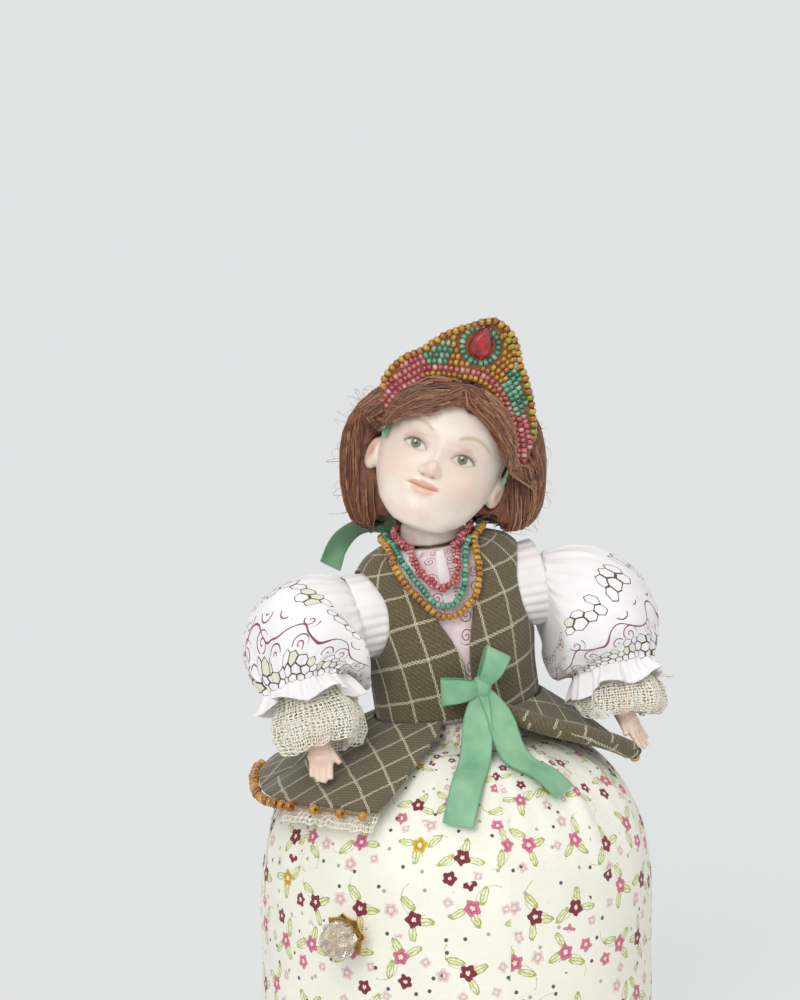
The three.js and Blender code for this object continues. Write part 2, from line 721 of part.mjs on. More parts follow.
add(lean, "necklace_amber", necklace(AMBER_STRING, AMBER_R, AMBER_PITCH), amberGlass);

// Head
function ringSurface(rings, grow = 0) {
  const at = smooth(rings);
  const middle = (rings[0].at(-1) + rings.at(-1).at(-1)) / 2;
  const half = (rings.at(-1).at(-1) - rings[0].at(-1)) / 2;
  return (u, v) => {
    const [halfWidth, halfDepth, y, z] = at(v);
    const turn = FULL * u;
    return V(
      (halfWidth + grow) * sin(turn),
      y - (halfDepth + grow) * cos(turn),
      middle + (z - middle) * (1 + grow / half),
    );
  };
}
const skull = lump(ringSurface(HEAD_RINGS), 22, 11);
const ears = [-1, 1].map((side) => ellipsoid(V(side * EAR.x, EAR.y, EAR.z), EAR.half, 8, 6));
const nose = ellipsoid(V(0, NOSE.y, NOSE.z), NOSE.half, 8, 6);
const socket = ball(NECK_AT, NECK_BALL_R + RUN, 16, 8);
const throat = rod(neckAxis(HEAD_FOOT_Z), neckAxis(NECK_TOP_Z + 1.5), NECK_R + 2.2, 20);
const headCuts = [socket, throat].map((g) => across(g, doll, head));
add(head, "head", cut(join(skull, ...ears, nose), ...headCuts), porcelain);

// Headdress
const crownLowerAt = smooth(CROWN_LOWER);
const crownUpperAt = smooth(CROWN_UPPER);
function crownSurface(u, v) {
  const [x0, z0] = crownLowerAt(u);
  const [x1, z1] = crownUpperAt(u);
  return crownPoint(x0 + (x1 - x0) * v, z0 + (z1 - z0) * v, 0);
}
// The same band, wider all round by a margin
function wideCrown(margin) {
  return (u, v) => {
    const w = -0.03 + 1.06 * u;
    const inside = THREE.MathUtils.clamp(w, 0, 1);
    const low = V(...crownLowerAt(inside), 0);
    const up = V(...crownUpperAt(inside), 0).sub(low);
    const beyond = V(up.y, -up.x, 0).normalize().multiplyScalar(((w - inside) / 0.03) * margin);
    const p = low.addScaledVector(up, v).add(beyond).addScaledVector(up.normalize(), margin * (2 * v - 1));
    return crownPoint(p.x, p.y, 0);
  };
}
// A place on the headdress's front, lifted forward by away
const crownFacing = (x) => V(CROWN_SLANT + 2 * CROWN_CURVE * x, -1, 0).normalize();
function crownPoint(x, z, away) {
  const y = CROWN_FRONT_Y + CROWN_SLANT * x + CROWN_CURVE * x * x;
  return V(x, y, z).addScaledVector(crownFacing(x), away);
}
function crownBand(front, behind, nu, nv) {
  return shell(offset(crownSurface, front), offset(crownSurface, behind), nu, nv);
}
add(head, "crown_backing", crownBand(0, -CROWN_THICK, 24, 1), felt);

// Bead centres on the headdress, from flat places
function crownBeads(places, radius) {
  const centres = places.map(([x, z]) => crownPoint(x, z, SEAT + radius));
  const out = places.map(([x]) => crownFacing(x));
  return beadString(centres, out, radius);
}
// A row along the band, a way in from its lower edge (positive) or from its upper edge (negative)
function crownRow(inset, from, to, pitch) {
  const points = [];
  for (let i = 0; i <= 40; i++) {
    const u = from + ((to - from) * i) / 40;
    const low = V(...crownLowerAt(u), 0);
    const high = V(...crownUpperAt(u), 0);
    const up = high.clone().sub(low);
    const height = up.length();
    const at = inset > 0 ? inset : height + inset;
    const rim = u > RIM_FROM - 0.03 && u < RIM_TO + 0.03 ? RIM_BAND : SEED_R;
    if (at <= height - rim || inset < 0) points.push(low.addScaledVector(up.normalize(), at));
  }
  if (points.length < 3) return [];
  return spaced(new THREE.CatmullRomCurve3(points), pitch).map((p) => [p.x, p.y]);
}
// Rows of seed beads that fill a stretch of the band, threaded to and fro
function crownFill(from, to, lowest) {
  const places = [];
  for (let row = 0; row < 8; row++) {
    const beads = crownRow(lowest + row * SEED_PITCH, from, to, SEED_PITCH);
    if (row % 2) beads.reverse();
    places.push(...beads);
  }
  return crownBeads(places, SEED_R);
}
function arcPlaces(x, z, radius, from, to, pitch) {
  const count = Math.round((rad(to - from) * radius) / pitch);
  const places = [];
  for (let i = 0; i <= count; i++) {
    const angle = rad(from + ((to - from) * i) / count);
    places.push([x + radius * cos(angle), z + radius * sin(angle)]);
  }
  return places;
}
const edgeInset = 1.35; // of an amber row from the band's edge
const rimPlaces = crownRow(-edgeInset, RIM_FROM, RIM_TO, AMBER_PITCH);
const fillR = RING_R + SEED_R + AMBER_R + 0.25;
const amberFill = [
  arcPlaces(...RING_AT, fillR, 176, 226, AMBER_PITCH),
  arcPlaces(...RING_AT, fillR, 316, 376, AMBER_PITCH),
];
const amberParts = [crownBeads(rimPlaces, AMBER_R)];
for (const places of amberFill) {
  amberParts.push(crownBeads(places, AMBER_R));
  const [x, z] = places[places === amberFill[0] ? 0 : places.length - 1];
  const away = (place) => Math.hypot(place[0] - x, place[1] - z);
  const nearest = rimPlaces.reduce((a, b) => (away(a) < away(b) ? a : b));
  const lift = SEAT + AMBER_R;
  amberParts.push(rod(crownPoint(x, z, lift), crownPoint(...nearest, lift), THREAD_R, 5));
}
add(head, "crown_amber_beads", join(...amberParts), amberGlass);
const lowerRow = crownRow(edgeInset, 0.28, 0.99, AMBER_PITCH);
const pinkRow = crownRow(RIM_BAND, 0.26, 0.765, SEED_PITCH);
add(head, "crown_amber_lower_row", crownBeads(lowerRow, AMBER_R), amberGlass);
add(head, "crown_pink_row", crownBeads(pinkRow, SEED_R), pinkGlass);
add(head, "crown_pink_beads_left", crownFill(0, 0.235, SEED_R + 0.1), pinkGlass);
add(head, "crown_green_beads_left", crownFill(0.275, 0.36, RIM_BAND + SEED_PITCH), tealGlass);
add(head, "crown_green_beads_right", crownFill(0.67, 0.765, RIM_BAND + SEED_PITCH), tealGlass);
add(head, "crown_pink_beads_right", crownFill(0.795, 0.98, RIM_BAND), pinkGlass);
const ringPlaces = arcPlaces(...RING_AT, RING_R, 185, 415, SEED_PITCH);
add(head, "crown_green_ring", crownBeads(ringPlaces, SEED_R), tealGlass);

// A faceted drop with a flat back
const dropHalf = [
  [0, -0.5],
  [0.36, -0.43],
  [0.5, -0.2],
  [0.4, 0.1],
  [0.2, 0.36],
  [0, 0.5],
];
const dropOutline = dropHalf.concat(dropHalf.slice(1, -1).reverse().map(([x, z]) => [-x, z]));
function dropSurface(u, v) {
  const [x, z] = dropOutline[Math.round(u * dropOutline.length) % dropOutline.length];
  const [size, away] = [
    [0.9, 0],
    [1, 0.35],
    [0.55, 1],
  ][Math.round(2 * v)];
  const { width, height, thick } = TEARDROP;
  return crownPoint(TEARDROP.x + x * size * width, TEARDROP.z + z * size * height, SEAT + away * thick);
}
add(head, "crown_teardrop", lump(dropSurface, dropOutline.length, 2), redGlass);

// Ties of narrow ribbon from the headdress's ends to the ears
const TIE_WIDTH = 2.6;
const TIE_THICK = 0.5;
const TIES = [
  ["crown_tie_left", [V(-20.9, -9.6, 7.6), V(-19.9, -9.3, 3.5), V(-18.9, -10.4, -0.5)], V(0.6, -0.8, 0)],
  ["crown_tie_right", [V(22, -6.6, 5), V(21.6, -6.2, 1.5), V(21.3, -5.8, -3)], V(-0.25, 1, 0)],
];
const tieRooms = [];
for (const [name, line, acrossIt] of TIES) {
  const widths = line.map(() => acrossIt);
  add(head, name, ribbon(line, widths, () => TIE_WIDTH, 4, TIE_THICK), satin);
  tieRooms.push(ribbon(line, widths, () => TIE_WIDTH + 4 * SEAT, 4, TIE_THICK + 8 * SEAT));
}

// Hair: a cap with a fringe and a bob that hangs straight down, round the face and the headdress
const upright = new THREE.Group();
upright.position.copy(HEAD_AT);
upright.rotation.z = rad(HEAD_YAW);
upright.updateMatrixWorld(true);
const FACE_OUTLINE = [
  [-45, -45],
  [45, -45],
  [45, 4],
  [22, 4],
  [18.5, 6],
  [15.6, 11],
  [11.7, 14.6],
  [6, 17.4],
  [-2, 16.2],
  [-10.5, 11.8],
  [-16.5, 6.8],
  [-20.5, 3],
  [-45, 3],
];
const FACE_DEEP = 1; // the hair starts this far behind the middle of the head
const outline = new THREE.Shape(FACE_OUTLINE.map(([x, z]) => new THREE.Vector2(x, z)));
const faceWindow = new THREE.ExtrudeGeometry(outline, { depth: 60, bevelEnabled: false });
faceWindow.rotateX(PI / 2).translate(0, FACE_DEEP, 0);
const belowEars = new THREE.BoxGeometry(90, 90, 60).translate(0, 0, -33);
const cap = cut(lump(ringSurface(HEAD_RINGS, CAP_THICK), 22, 11), belowEars);
const bob = across(lump(ringSurface(BOB_RINGS), 22, 7), upright, head);
const napeRoom = rod(neckAxis(HEAD_FOOT_Z), neckAxis(NECK_TOP_Z + 2), 20.5, 20);
const nape = across(napeRoom, doll, head);
const bareSkull = lump(ringSurface(HEAD_RINGS, SEAT), 22, 11);
const earRoomHalf = EAR.half.clone().addScalar(2 * SEAT);
const earRoom = [-1, 1].map((side) => ellipsoid(V(side * EAR.x, EAR.y, EAR.z), earRoomHalf, 10, 6));
const wide = wideCrown(1.1);
const crownRoom = shell(offset(wide, 30), offset(wide, -CROWN_THICK - SEAT), 16, 1);
const wig = cut(join(cap, bob), bareSkull, faceWindow, ...earRoom, nape, ...headCuts, crownRoom, ...tieRooms);
add(head, "wig", wig, mohair);

// Arms
function profileAt(radii) {
  const at = smooth(radii.map((r) => [r]));
  return (v) => at(v)[0];
}
const sleeveRadius = profileAt(SLEEVE_PROFILE);
const cuffRadius = profileAt(CUFF_PROFILE);
const sleeveFold = (u, v) => SLEEVE_FOLD_DEPTH * Math.max(v - 0.45, 0) * 1.8 * cos(SLEEVE_FOLDS * FULL * u);
const cuffFold = (u, v) => CUFF_FOLD_DEPTH * sqrt(v) * cos(CUFF_FOLDS * FULL * u);

// A hand: palm, four fingers and a thumb, fingers along -Z and the thumb towards +X
function handOf(reach) {
  const palm = -0.38 * reach;
  const at = (sideways, far) => V(sideways, 0, -far * reach);
  const parts = [
    rod(V(0, 0, WRIST_TOP), V(0, 0, palm), 3, 8, 3.4),
    ellipsoid(V(0, 0, palm), V(HAND_HALF_WIDE, HAND_HALF_THICK, 0.3 * reach), 10, 6),
  ];
  for (const [sideways, far] of [[-3.1, 0.86], [-1.1, 0.97], [1, 1], [3, 0.92]])
    parts.push(rod(at(sideways * 0.9, 0.45), at(sideways, far), FINGER_R, 6, 0.7 * FINGER_R));
  parts.push(rod(at(2.4, 0.22), at(HAND_HALF_WIDE + 1.4, 0.56), 1.2 * FINGER_R, 6, 0.8 * FINGER_R));
  return join(...parts);
}
// Where a hand is drawn: +Z from the fingertips to the wrist
function handPlace(wrist, tips, thumbSide) {
  const up = wrist.clone().sub(tips).normalize();
  const wide = thumbSide.clone().addScaledVector(up, -thumbSide.dot(up)).normalize();
  return new THREE.Matrix4().makeBasis(wide, up.clone().cross(wide), up).setPosition(wrist);
}

for (const [name, { side, sleeve, cuff, wrist, fingertips, thumbSide }] of Object.entries(ARM_LINES)) {
  const shoulder = shoulderAt(side);
  const place = handPlace(wrist, fingertips, thumbSide);
  const pastWrist = new THREE.BoxGeometry(30, 30, 20).translate(0, 0, WRIST_TOP + SEAT - 10);
  pastWrist.applyMatrix4(place);
  const armLine = [shoulder, ...sleeve.slice(1), wrist];
  const core = join(ball(shoulder, ARM_BALL_R, 12, 8), lump(sleeveSurface(armLine, () => ARM_R), 8, 8));
  add(lean, "arm_" + name, cut(core, pastWrist), calico);
  const roomLine = [shoulder, ...sleeve.slice(1), cuff.at(-1)];
  const room = lump(sleeveSurface(roomLine, () => ARM_R + 3 * SEAT), 8, 8);
  const ballRoom = ball(shoulder, ARM_BALL_R + SEAT, 12, 8);
  const puff = lump(sleeveSurface(sleeve, (u, v) => sleeveRadius(v) + sleeveFold(u, v)), 3 * SLEEVE_FOLDS, 8);
  const inner = new THREE.BoxGeometry(2 * SLEEVE_CLEAR, 120, 120);
  const sleeveAxis = (x) => V(side * x, SHOULDER.y, SHOULDER.z);
  const collar = rod(sleeveAxis(SLEEVE_START), sleeveAxis(SLEEVE_COLLAR_END), SLEEVE_COLLAR_R, 16);
  add(lean, "sleeve_" + name, cut(join(cut(puff, inner), collar), room, ballRoom), whiteCotton);
  const cuffOut = sleeveSurface(cuff, (u, v) => cuffRadius(v) + cuffFold(u, v));
  const cuffIn = sleeveSurface(cuff, (u, v) => cuffRadius(v) + cuffFold(u, v) - LACE_CUFF_WALL);
  add(lean, "lace_cuff_" + name, shell(cuffOut, cuffIn, 3 * CUFF_FOLDS, 2, true), lace);
  add(lean, "hand_" + name, handOf(wrist.distanceTo(fingertips)).applyMatrix4(place), porcelain);
}

// Waist bow, tied through the vest's front edges
const rise = CUSHION_TOP - CUSHION_SHOULDER;
function domePoint(turn, radius, away) {
  const t = Math.acos((radius - GATHERED_TOP_R) / (CUSHION_R - GATHERED_TOP_R));
  const normal = V(rise * cos(t), 0, (CUSHION_R - GATHERED_TOP_R) * sin(t)).normalize();
  const r = radius + away * normal.x;
  return V(r * sin(rad(turn)), -r * cos(rad(turn)), CUSHION_SHOULDER + rise * sin(t) + away * normal.z);
}
function bowLoop(angle, long) {
  const outline = [
    V(-1, -1, 0),
    V(-0.5 * long, -3.4, 0),
    V(-long, -1.2, 0),
    V(-long, 0.6, 0),
    V(-0.5 * long, 0.6, 0),
    V(-1, 1, 0),
  ];
  const loop = ribbon(outline, outline.map(() => V(0, 0, 1)), (v) => 4 + 5 * sin(PI * v), 10);
  return loop.rotateY(rad(angle)).translate(KNOT_AT.x, KNOT_AT.y, KNOT_AT.z);
}
function bowTail(start, turns) {
  const line = [KNOT_AT, start, ...turns.map(([turn, radius]) => domePoint(turn, radius, 1.1))];
  const widths = line.map((p) => V(-p.y, p.x, 0).normalize());
  return ribbon(line, widths, (v) => 4 + (RIBBON_WIDTH - 4) * Math.min(1, 3 * v), 9);
}
const bow = join(
  ellipsoid(KNOT_AT, V(3.4, 2.4, 3.6), 12, 8),
  bowLoop(-4, 12.5),
  bowLoop(116, 12),
  bowTail(V(-1.6, -30.2, 121), [[-7, 37], [-12, 47], [-15.3, 56]]),
  bowTail(V(4.6, -30, 121), [[14, 37], [21, 45], [25, 51]]),
);
add(doll, "waist_bow", bow, satin);

// Ribbon tied behind the neck
const tieLine = [
  V(-10, 17.2, 171.8),
  V(-18, 19.7, 173.4),
  V(-27, 19.5, 173),
  V(-35.5, 15.5, 168),
  V(-38.5, 13.5, 162),
];
const tieWidths = [
  V(0, 0.3, -1),
  V(0.2, 0.6, -0.8),
  V(0.5, 0.6, -0.5),
  V(0.9, 0.4, 0),
  V(0.9, 0.3, 0.2),
];
add(doll, "neck_ribbon", ribbon(tieLine, tieWidths, () => 0.8 * RIBBON_WIDTH, 10), satin);

// Trimmings of the peplum
add(doll, "peplum_lace", lacePanel(-72, -37.5, 28, 2), lace);
function hemBeads(turns) {
  const out = turns.map((turn) => V(sin(rad(turn)), -cos(rad(turn)), 0));
  const away = HEM_BEAD_R + SEAT;
  const centres = turns.map((turn, i) => {
    const hem = peplumSurface(rad(turn), 1);
    return hem.addScaledVector(out[i], away).add(V(0, 0, -0.4));
  });
  return beadString(centres, out, HEM_BEAD_R);
}
const leftTurns = [];
for (let turn = -124; turn < -66; turn += 3.6) leftTurns.push(turn);
leftTurns.push(-56.5, -47.5, -40);
add(doll, "hem_beads_left", hemBeads(leftTurns), amberGlass);
add(doll, "hem_beads_right", hemBeads([69, 72.6, 76.2, 79.8, 83.4]), amberGlass);

// Pin: needle, gilt flower cap and faceted crystal, along +Z of their own group
const pin = new THREE.Group();
pin.position.copy(pinPoint(0));
pin.quaternion.setFromUnitVectors(V(0, 0, 1), pinOut);
doll.add(pin);
const needleFoot = rod(V(0, 0, -NEEDLE_DEEP), V(0, 0, -NEEDLE_DEEP + 4), 0.08, 8, NEEDLE_R);
const needleShaft = rod(V(0, 0, -NEEDLE_DEEP + 3.99), V(0, 0, CRYSTAL_OUT - 1), NEEDLE_R, 8);
add(pin, "pin_needle", join(needleFoot, needleShaft), steel);
function capSurface(away) {
  return (u, v) => {
    const petal = 1 + 0.13 * v * v * cos(CAP_PETALS * FULL * u);
    const r = NEEDLE_R + PIN_FIT + (CAP_R - 1) * v * petal;
    const z = CAP_OUT + CAP_RISE * v ** 3 + away;
    return V(r * cos(FULL * u), r * sin(FULL * u), z);
  };
}
add(pin, "pin_cap", shell(capSurface(CAP_THICK_GILT), capSurface(0), 3 * CAP_PETALS, 3, true), gilt);
const crystalProfile = [
  [0, -0.5],
  [0.3, -0.5],
  [0.82, -0.22],
  [1, 0.02],
  [0.82, 0.27],
  [0.45, 0.5],
  [0, 0.5],
].map(([r, z]) => new THREE.Vector2(r * CRYSTAL_R, z * CRYSTAL_LENGTH));
const crystal = new THREE.LatheGeometry(crystalProfile, 8).rotateX(PI / 2);
const pinHole = rod(V(0, 0, -CRYSTAL_LENGTH), V(0, 0, CRYSTAL_OUT - 1 + PIN_FIT), NEEDLE_R + PIN_FIT, 8);
add(pin, "pin_crystal", cut(crystal.translate(0, 0, CRYSTAL_OUT), pinHole), clearGlass);

export default doll;
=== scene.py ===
# %% [markdown]
# # A pincushion doll
# The object is a small half doll of porcelain, dressed in cloth and beads, on a stuffed skirt
# that takes pins. The solids come from the CAD file. Here each visible piece gets its real form
# and finish: printed cotton, checked wool, crochet, satin, mohair, glass beads and glazed clay.
#
# The first step loads the CAD model. Its solids stay where they are, and every new piece is
# placed in the same frame, in metres.

# %% Load the CAD model
import math

import bpy
import numpy as np
from mathutils import Matrix, Vector
from mathutils.bvhtree import BVHTree


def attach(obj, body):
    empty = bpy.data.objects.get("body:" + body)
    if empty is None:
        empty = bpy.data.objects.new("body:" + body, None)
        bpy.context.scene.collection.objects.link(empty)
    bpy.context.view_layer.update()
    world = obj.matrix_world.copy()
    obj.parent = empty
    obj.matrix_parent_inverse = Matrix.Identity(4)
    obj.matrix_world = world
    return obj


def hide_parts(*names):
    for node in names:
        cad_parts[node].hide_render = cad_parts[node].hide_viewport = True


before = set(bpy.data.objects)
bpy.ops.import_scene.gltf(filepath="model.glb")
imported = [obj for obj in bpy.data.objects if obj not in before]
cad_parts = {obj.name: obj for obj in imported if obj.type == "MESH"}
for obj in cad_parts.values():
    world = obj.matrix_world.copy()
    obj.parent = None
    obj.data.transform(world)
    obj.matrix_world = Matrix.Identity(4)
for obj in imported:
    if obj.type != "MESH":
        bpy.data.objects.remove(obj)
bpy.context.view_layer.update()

MM = 0.001

# %% [markdown]
# ## Camera
# The camera stands where the photographer's did: a little to the doll's right and above her.
# A long lens far away keeps the proportions calm, as product photographs do. The lens is worked
# out from the size that one pixel of an 800 by 1000 picture shows at the doll's middle.

# %% Camera
AZIMUTH, ELEVATION = math.radians(-15), math.radians(10)
PICTURE_WIDE, PICTURE_HIGH = 800, 1000
PIXEL = 0.323 * MM
AXIS_X, FOOT_Y = 457, 1061  # the doll's axis and the middle of its foot, in pixels of the picture
DISTANCE = 2.0
right = Vector((math.cos(AZIMUTH), math.sin(AZIMUTH), 0))
level = Vector((-math.sin(AZIMUTH), math.cos(AZIMUTH), 0))
look = level * math.cos(ELEVATION) - Vector((0, 0, math.sin(ELEVATION)))
up = level * math.sin(ELEVATION) + Vector((0, 0, math.cos(ELEVATION)))
aim = right * (PICTURE_WIDE / 2 - AXIS_X) * PIXEL + up * (FOOT_Y - PICTURE_HIGH / 2) * PIXEL

bpy.ops.object.select_all(action="DESELECT")
bpy.ops.object.camera_add(location=aim - look * DISTANCE)
camera = bpy.context.object
camera.rotation_mode = "QUATERNION"
camera.rotation_quaternion = Matrix((right, up, -look)).transposed().to_quaternion()
camera.data.lens = camera.data.sensor_width * DISTANCE / (PICTURE_HIGH * PIXEL)
camera.data.clip_start = 0.1
bpy.context.scene.camera = camera
bpy.context.scene.view_settings.view_transform = "Standard"
print("lens in mm:", round(camera.data.lens))

# %% [markdown]
# ## One way to write materials
# Every finish here is made of shader nodes. A few helpers keep that readable: one turns a
# colour as written in a paint program into the linear values that light needs, one adds a node
# with its settings and its links, and one fills more inputs of a node by name.

# %% Colour and node helpers
def linear(code):
    """An sRGB colour such as "F5F3E6" as linear red, green, blue and alpha."""
    parts = [int(code[i : i + 2], 16) / 255 for i in (0, 2, 4)]
    return [p / 12.92 if p <= 0.04045 else ((p + 0.055) / 1.055) ** 2.4 for p in parts] + [1]


def feed(tree, socket, value):
    """Gives an input a value, a colour as a hex code, or what another node gives."""
    if isinstance(value, str):
        value = linear(value)
    if isinstance(value, bpy.types.Node):
        value = next(s for s in value.outputs if s.enabled)
    if isinstance(value, bpy.types.NodeSocket):
        tree.links.new(value, socket)
    else:
        socket.default_value = value


def wire(tree, node, **named):
    """Fills a node's inputs by name."""
    for name, value in named.items():
        name = name.replace("_", " ")
        feed(tree, next(s for s in node.inputs if s.name == name and s.enabled), value)


def add(tree, kind, *values, stops=(), interpolation="LINEAR", **named):
    """Adds a shader node. Values fill its inputs in order, and named ones are settings or inputs.
    Stops are the places and colours of a colour ramp."""
    made = tree.nodes.new("ShaderNode" + kind)
    if stops:
        made.color_ramp.interpolation = interpolation
    for i, (place, code) in enumerate(stops):
        stop = made.color_ramp.elements[i] if i < 2 else made.color_ramp.elements.new(place)
        stop.position, stop.color = place, linear(code)
    inputs = {}
    for name, value in named.items():
        if hasattr(made, name):
            setattr(made, name, value)
        else:
            inputs[name] = value
    for socket, value in zip([s for s in made.inputs if s.enabled], values):
        feed(tree, socket, value)
    wire(tree, made, **inputs)
    return made


def new_material(name):
    """An empty material with its node tree and principled shader."""
    made = bpy.data.materials.new(name)
    made.use_nodes = True
    made.node_tree.nodes.clear()
    shader = add(made.node_tree, "BsdfPrincipled")
    add(made.node_tree, "OutputMaterial", shader)
    return made, made.node_tree, shader


def millimetres(tree):
    """Object coordinates in millimetres."""
    place = add(tree, "TexCoord").outputs["Object"]
    return add(tree, "VectorMath", place, (1000, 1000, 1000), operation="MULTIPLY")


def toned(name, scale, detail, stops):
    """A material whose colour wanders between tones. Gives back its place and its noise too."""
    made, tree, shader = new_material(name)
    place = millimetres(tree)
    noise = add(tree, "TexNoise", Vector=place, Scale=scale, Detail=detail)
    wire(tree, shader, Base_Color=add(tree, "ValToRGB", noise.outputs[0], stops=stops))
    return made, tree, shader, place, noise


# %% [markdown]
# ## Light and background
# The photograph has a plain pale background and very soft light from the upper left. Three
# wide suns and an even world light do that, so a colour looks as it is written. One softbox
# gives the glass and glaze a bright spot. The floor takes the doll's soft shadow, and its pale
# colour is partly its own light for the camera only, so it doesn't light the doll.

# %% Lamps and world
def placed(name, data):
    """A new object in the scene."""
    made = bpy.data.objects.new(name, data)
    bpy.context.collection.objects.link(made)
    return made


def lamp(name, kind, towards, strength, **settings):
    data = bpy.data.lights.new(name, kind)
    data.energy = strength
    for setting, value in settings.items():
        setattr(data, setting, value)
    made = placed(name, data)
    made.rotation_mode = "QUATERNION"
    made.rotation_quaternion = Vector(towards).to_track_quat("-Z", "Y")
    return made


lamp("key_light", "SUN", (0.55, 0.75, -0.6), 1.25, angle=math.radians(40))
lamp("fill_light", "SUN", (-0.75, 0.6, -0.35), 0.55, angle=math.radians(60))
lamp("top_light", "SUN", (0.05, -0.15, -1), 0.5, angle=math.radians(60))
softbox = lamp("softbox", "AREA", (0.5, 0.75, -0.45), 1.2, size=0.35)
softbox.location = (-0.5, -0.75, 0.65)

BACKGROUND = "E3E5E6"
world = bpy.data.worlds.new("studio")
bpy.context.scene.world = world
world.use_nodes = True
sky = world.node_tree
sky.nodes.clear()
ray = add(sky, "LightPath")
seen = ray.outputs["Is Camera Ray"]
for kind in ("Glossy", "Transmission"):
    seen = add(sky, "Math", seen, ray.outputs["Is " + kind + " Ray"], operation="MAXIMUM")
WORLD_LIGHT = (0.46, 0.46, 0.46, 1)
tone = add(sky, "Mix", seen, WORLD_LIGHT, BACKGROUND, data_type="RGBA")
add(sky, "OutputWorld", add(sky, "Background", tone, 1.0))

# %% Floor
bpy.ops.mesh.primitive_plane_add(size=30)
floor = bpy.context.object
floor.name = "floor"
paper, tree, shader = new_material("pale background paper")
wire(tree, shader, Base_Color="E4E5E5", Roughness=0.95)
glow = add(tree, "Emission", BACKGROUND, 1.0)
to_camera = add(tree, "LightPath").outputs["Is Camera Ray"]
own_light = add(tree, "Math", to_camera, 0.75, operation="MULTIPLY")
mixed = add(tree, "MixShader", own_light, shader, glow)
tree.links.new(mixed.outputs[0], tree.nodes["Material Output"].inputs["Surface"])
floor.data.materials.append(paper)
print("floor and lamps are in place")

# %% [markdown]
# ## Helpers for the pieces
# Most of this doll is cloth, and cloth is easiest to describe as a surface: a rule that gives a
# point for each place across and along the cloth. So a piece starts as a flat grid, its points
# are moved onto the surface, and it keeps a UV map in millimetres, as if the cloth were still
# flat on the table. Weaves and prints then follow the cloth. Modifiers give it its thickness
# and its softness, and they are applied.

# %% Helpers for the pieces
def select_only(piece):
    bpy.ops.object.select_all(action="DESELECT")
    piece.select_set(True)
    bpy.context.view_layer.objects.active = piece


def modify(piece, kind, **settings):
    """Adds a modifier with its settings and applies it."""
    select_only(piece)
    modifier = piece.modifiers.new(kind.title(), kind)
    for name, value in settings.items():
        setattr(modifier, name, value)
    bpy.ops.object.modifier_apply(modifier=modifier.name)


def merge_close(piece, reach=0.02):
    """Closes the seam and the poles of a piece whose edges meet. The reach is in millimetres."""
    select_only(piece)
    bpy.ops.object.mode_set(mode="EDIT")
    bpy.ops.mesh.select_all(action="SELECT")
    bpy.ops.mesh.remove_doubles(threshold=reach * MM)
    bpy.ops.object.mode_set(mode="OBJECT")


def sheet_of(name, surface, across, along, flat=None):
    """A grid whose points are moved onto surface(u, v), in millimetres. flat gives its UV map."""
    bpy.ops.object.select_all(action="DESELECT")
    bpy.ops.mesh.primitive_grid_add(x_subdivisions=across, y_subdivisions=along, size=1)
    piece = bpy.context.object
    piece.name = piece.data.name = name
    grid = np.array([p.co for p in piece.data.vertices]) + 0.5
    u, v = grid[:, 0], grid[:, 1]
    piece.data.vertices.foreach_set("co", (surface(u, v) * MM).ravel())
    corner = np.zeros(len(piece.data.loops), int)
    piece.data.loops.foreach_get("vertex_index", corner)
    places = flat(u, v) if flat else np.column_stack([u, v])
    piece.data.uv_layers.active.data.foreach_set("uv", places[corner].ravel())
    piece.data.update()
    return piece


def solid_cloth(piece, thick):
    """Gives a sheet its thickness in millimetres, inwards from its face."""
    modify(piece, "SOLIDIFY", thickness=thick * MM, offset=-1, use_even_offset=False)


def round_edges(piece, width, segments=2, angle=50):
    """Rounds the edges that are sharper than the angle. The width is in millimetres."""
    modify(
        piece, "BEVEL", width=width * MM, segments=segments,
        limit_method="ANGLE", angle_limit=math.radians(angle),
    )


def cut_away(piece, cutter):
    """Cuts one object out of a piece, and removes that object."""
    modify(piece, "BOOLEAN", operation="DIFFERENCE", solver="EXACT", object=cutter)
    bpy.data.objects.remove(cutter)


def joined(pieces):
    """Joins pieces into the first one."""
    select_only(pieces[0])
    for piece in pieces[1:]:
        piece.select_set(True)
    bpy.ops.object.join()
    return pieces[0]


def mesh_of(name, places, faces):
    """A new piece from its points in millimetres and its faces."""
    data = bpy.data.meshes.new(name)
    data.from_pydata(places * MM, [], faces)
    return placed(name, data)


def remade(node, name, voxel, smooth):
    """A softened copy of a CAD solid: merged, remeshed evenly and smoothed."""
    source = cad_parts[node]
    piece = placed(name, source.data.copy())
    piece.data.transform(source.matrix_world)
    merge_close(piece, 0.001)
    modify(piece, "REMESH", mode="VOXEL", voxel_size=voxel * MM)
    modify(piece, "SMOOTH", factor=0.5, iterations=smooth)
    return piece


def points_of(piece):
    places = np.zeros(3 * len(piece.data.vertices))
    piece.data.vertices.foreach_get("co", places)
    return places.reshape(-1, 3) / MM


def move_points(piece, places):
    piece.data.vertices.foreach_set("co", (places * MM).ravel())
    piece.data.update()


def paint(piece, name, values):
    """Keeps one colour or one number for each point of a piece, for its material to read."""
    values = np.asarray(values, float)
    if values.ndim == 1:
        layer, field = piece.data.attributes.new(name, "FLOAT", "POINT"), "value"
    else:
        values = np.column_stack([values, np.ones(len(values))])
        layer, field = piece.data.attributes.new(name, "FLOAT_COLOR", "POINT"), "color"
    layer.data.foreach_set(field, values.ravel())


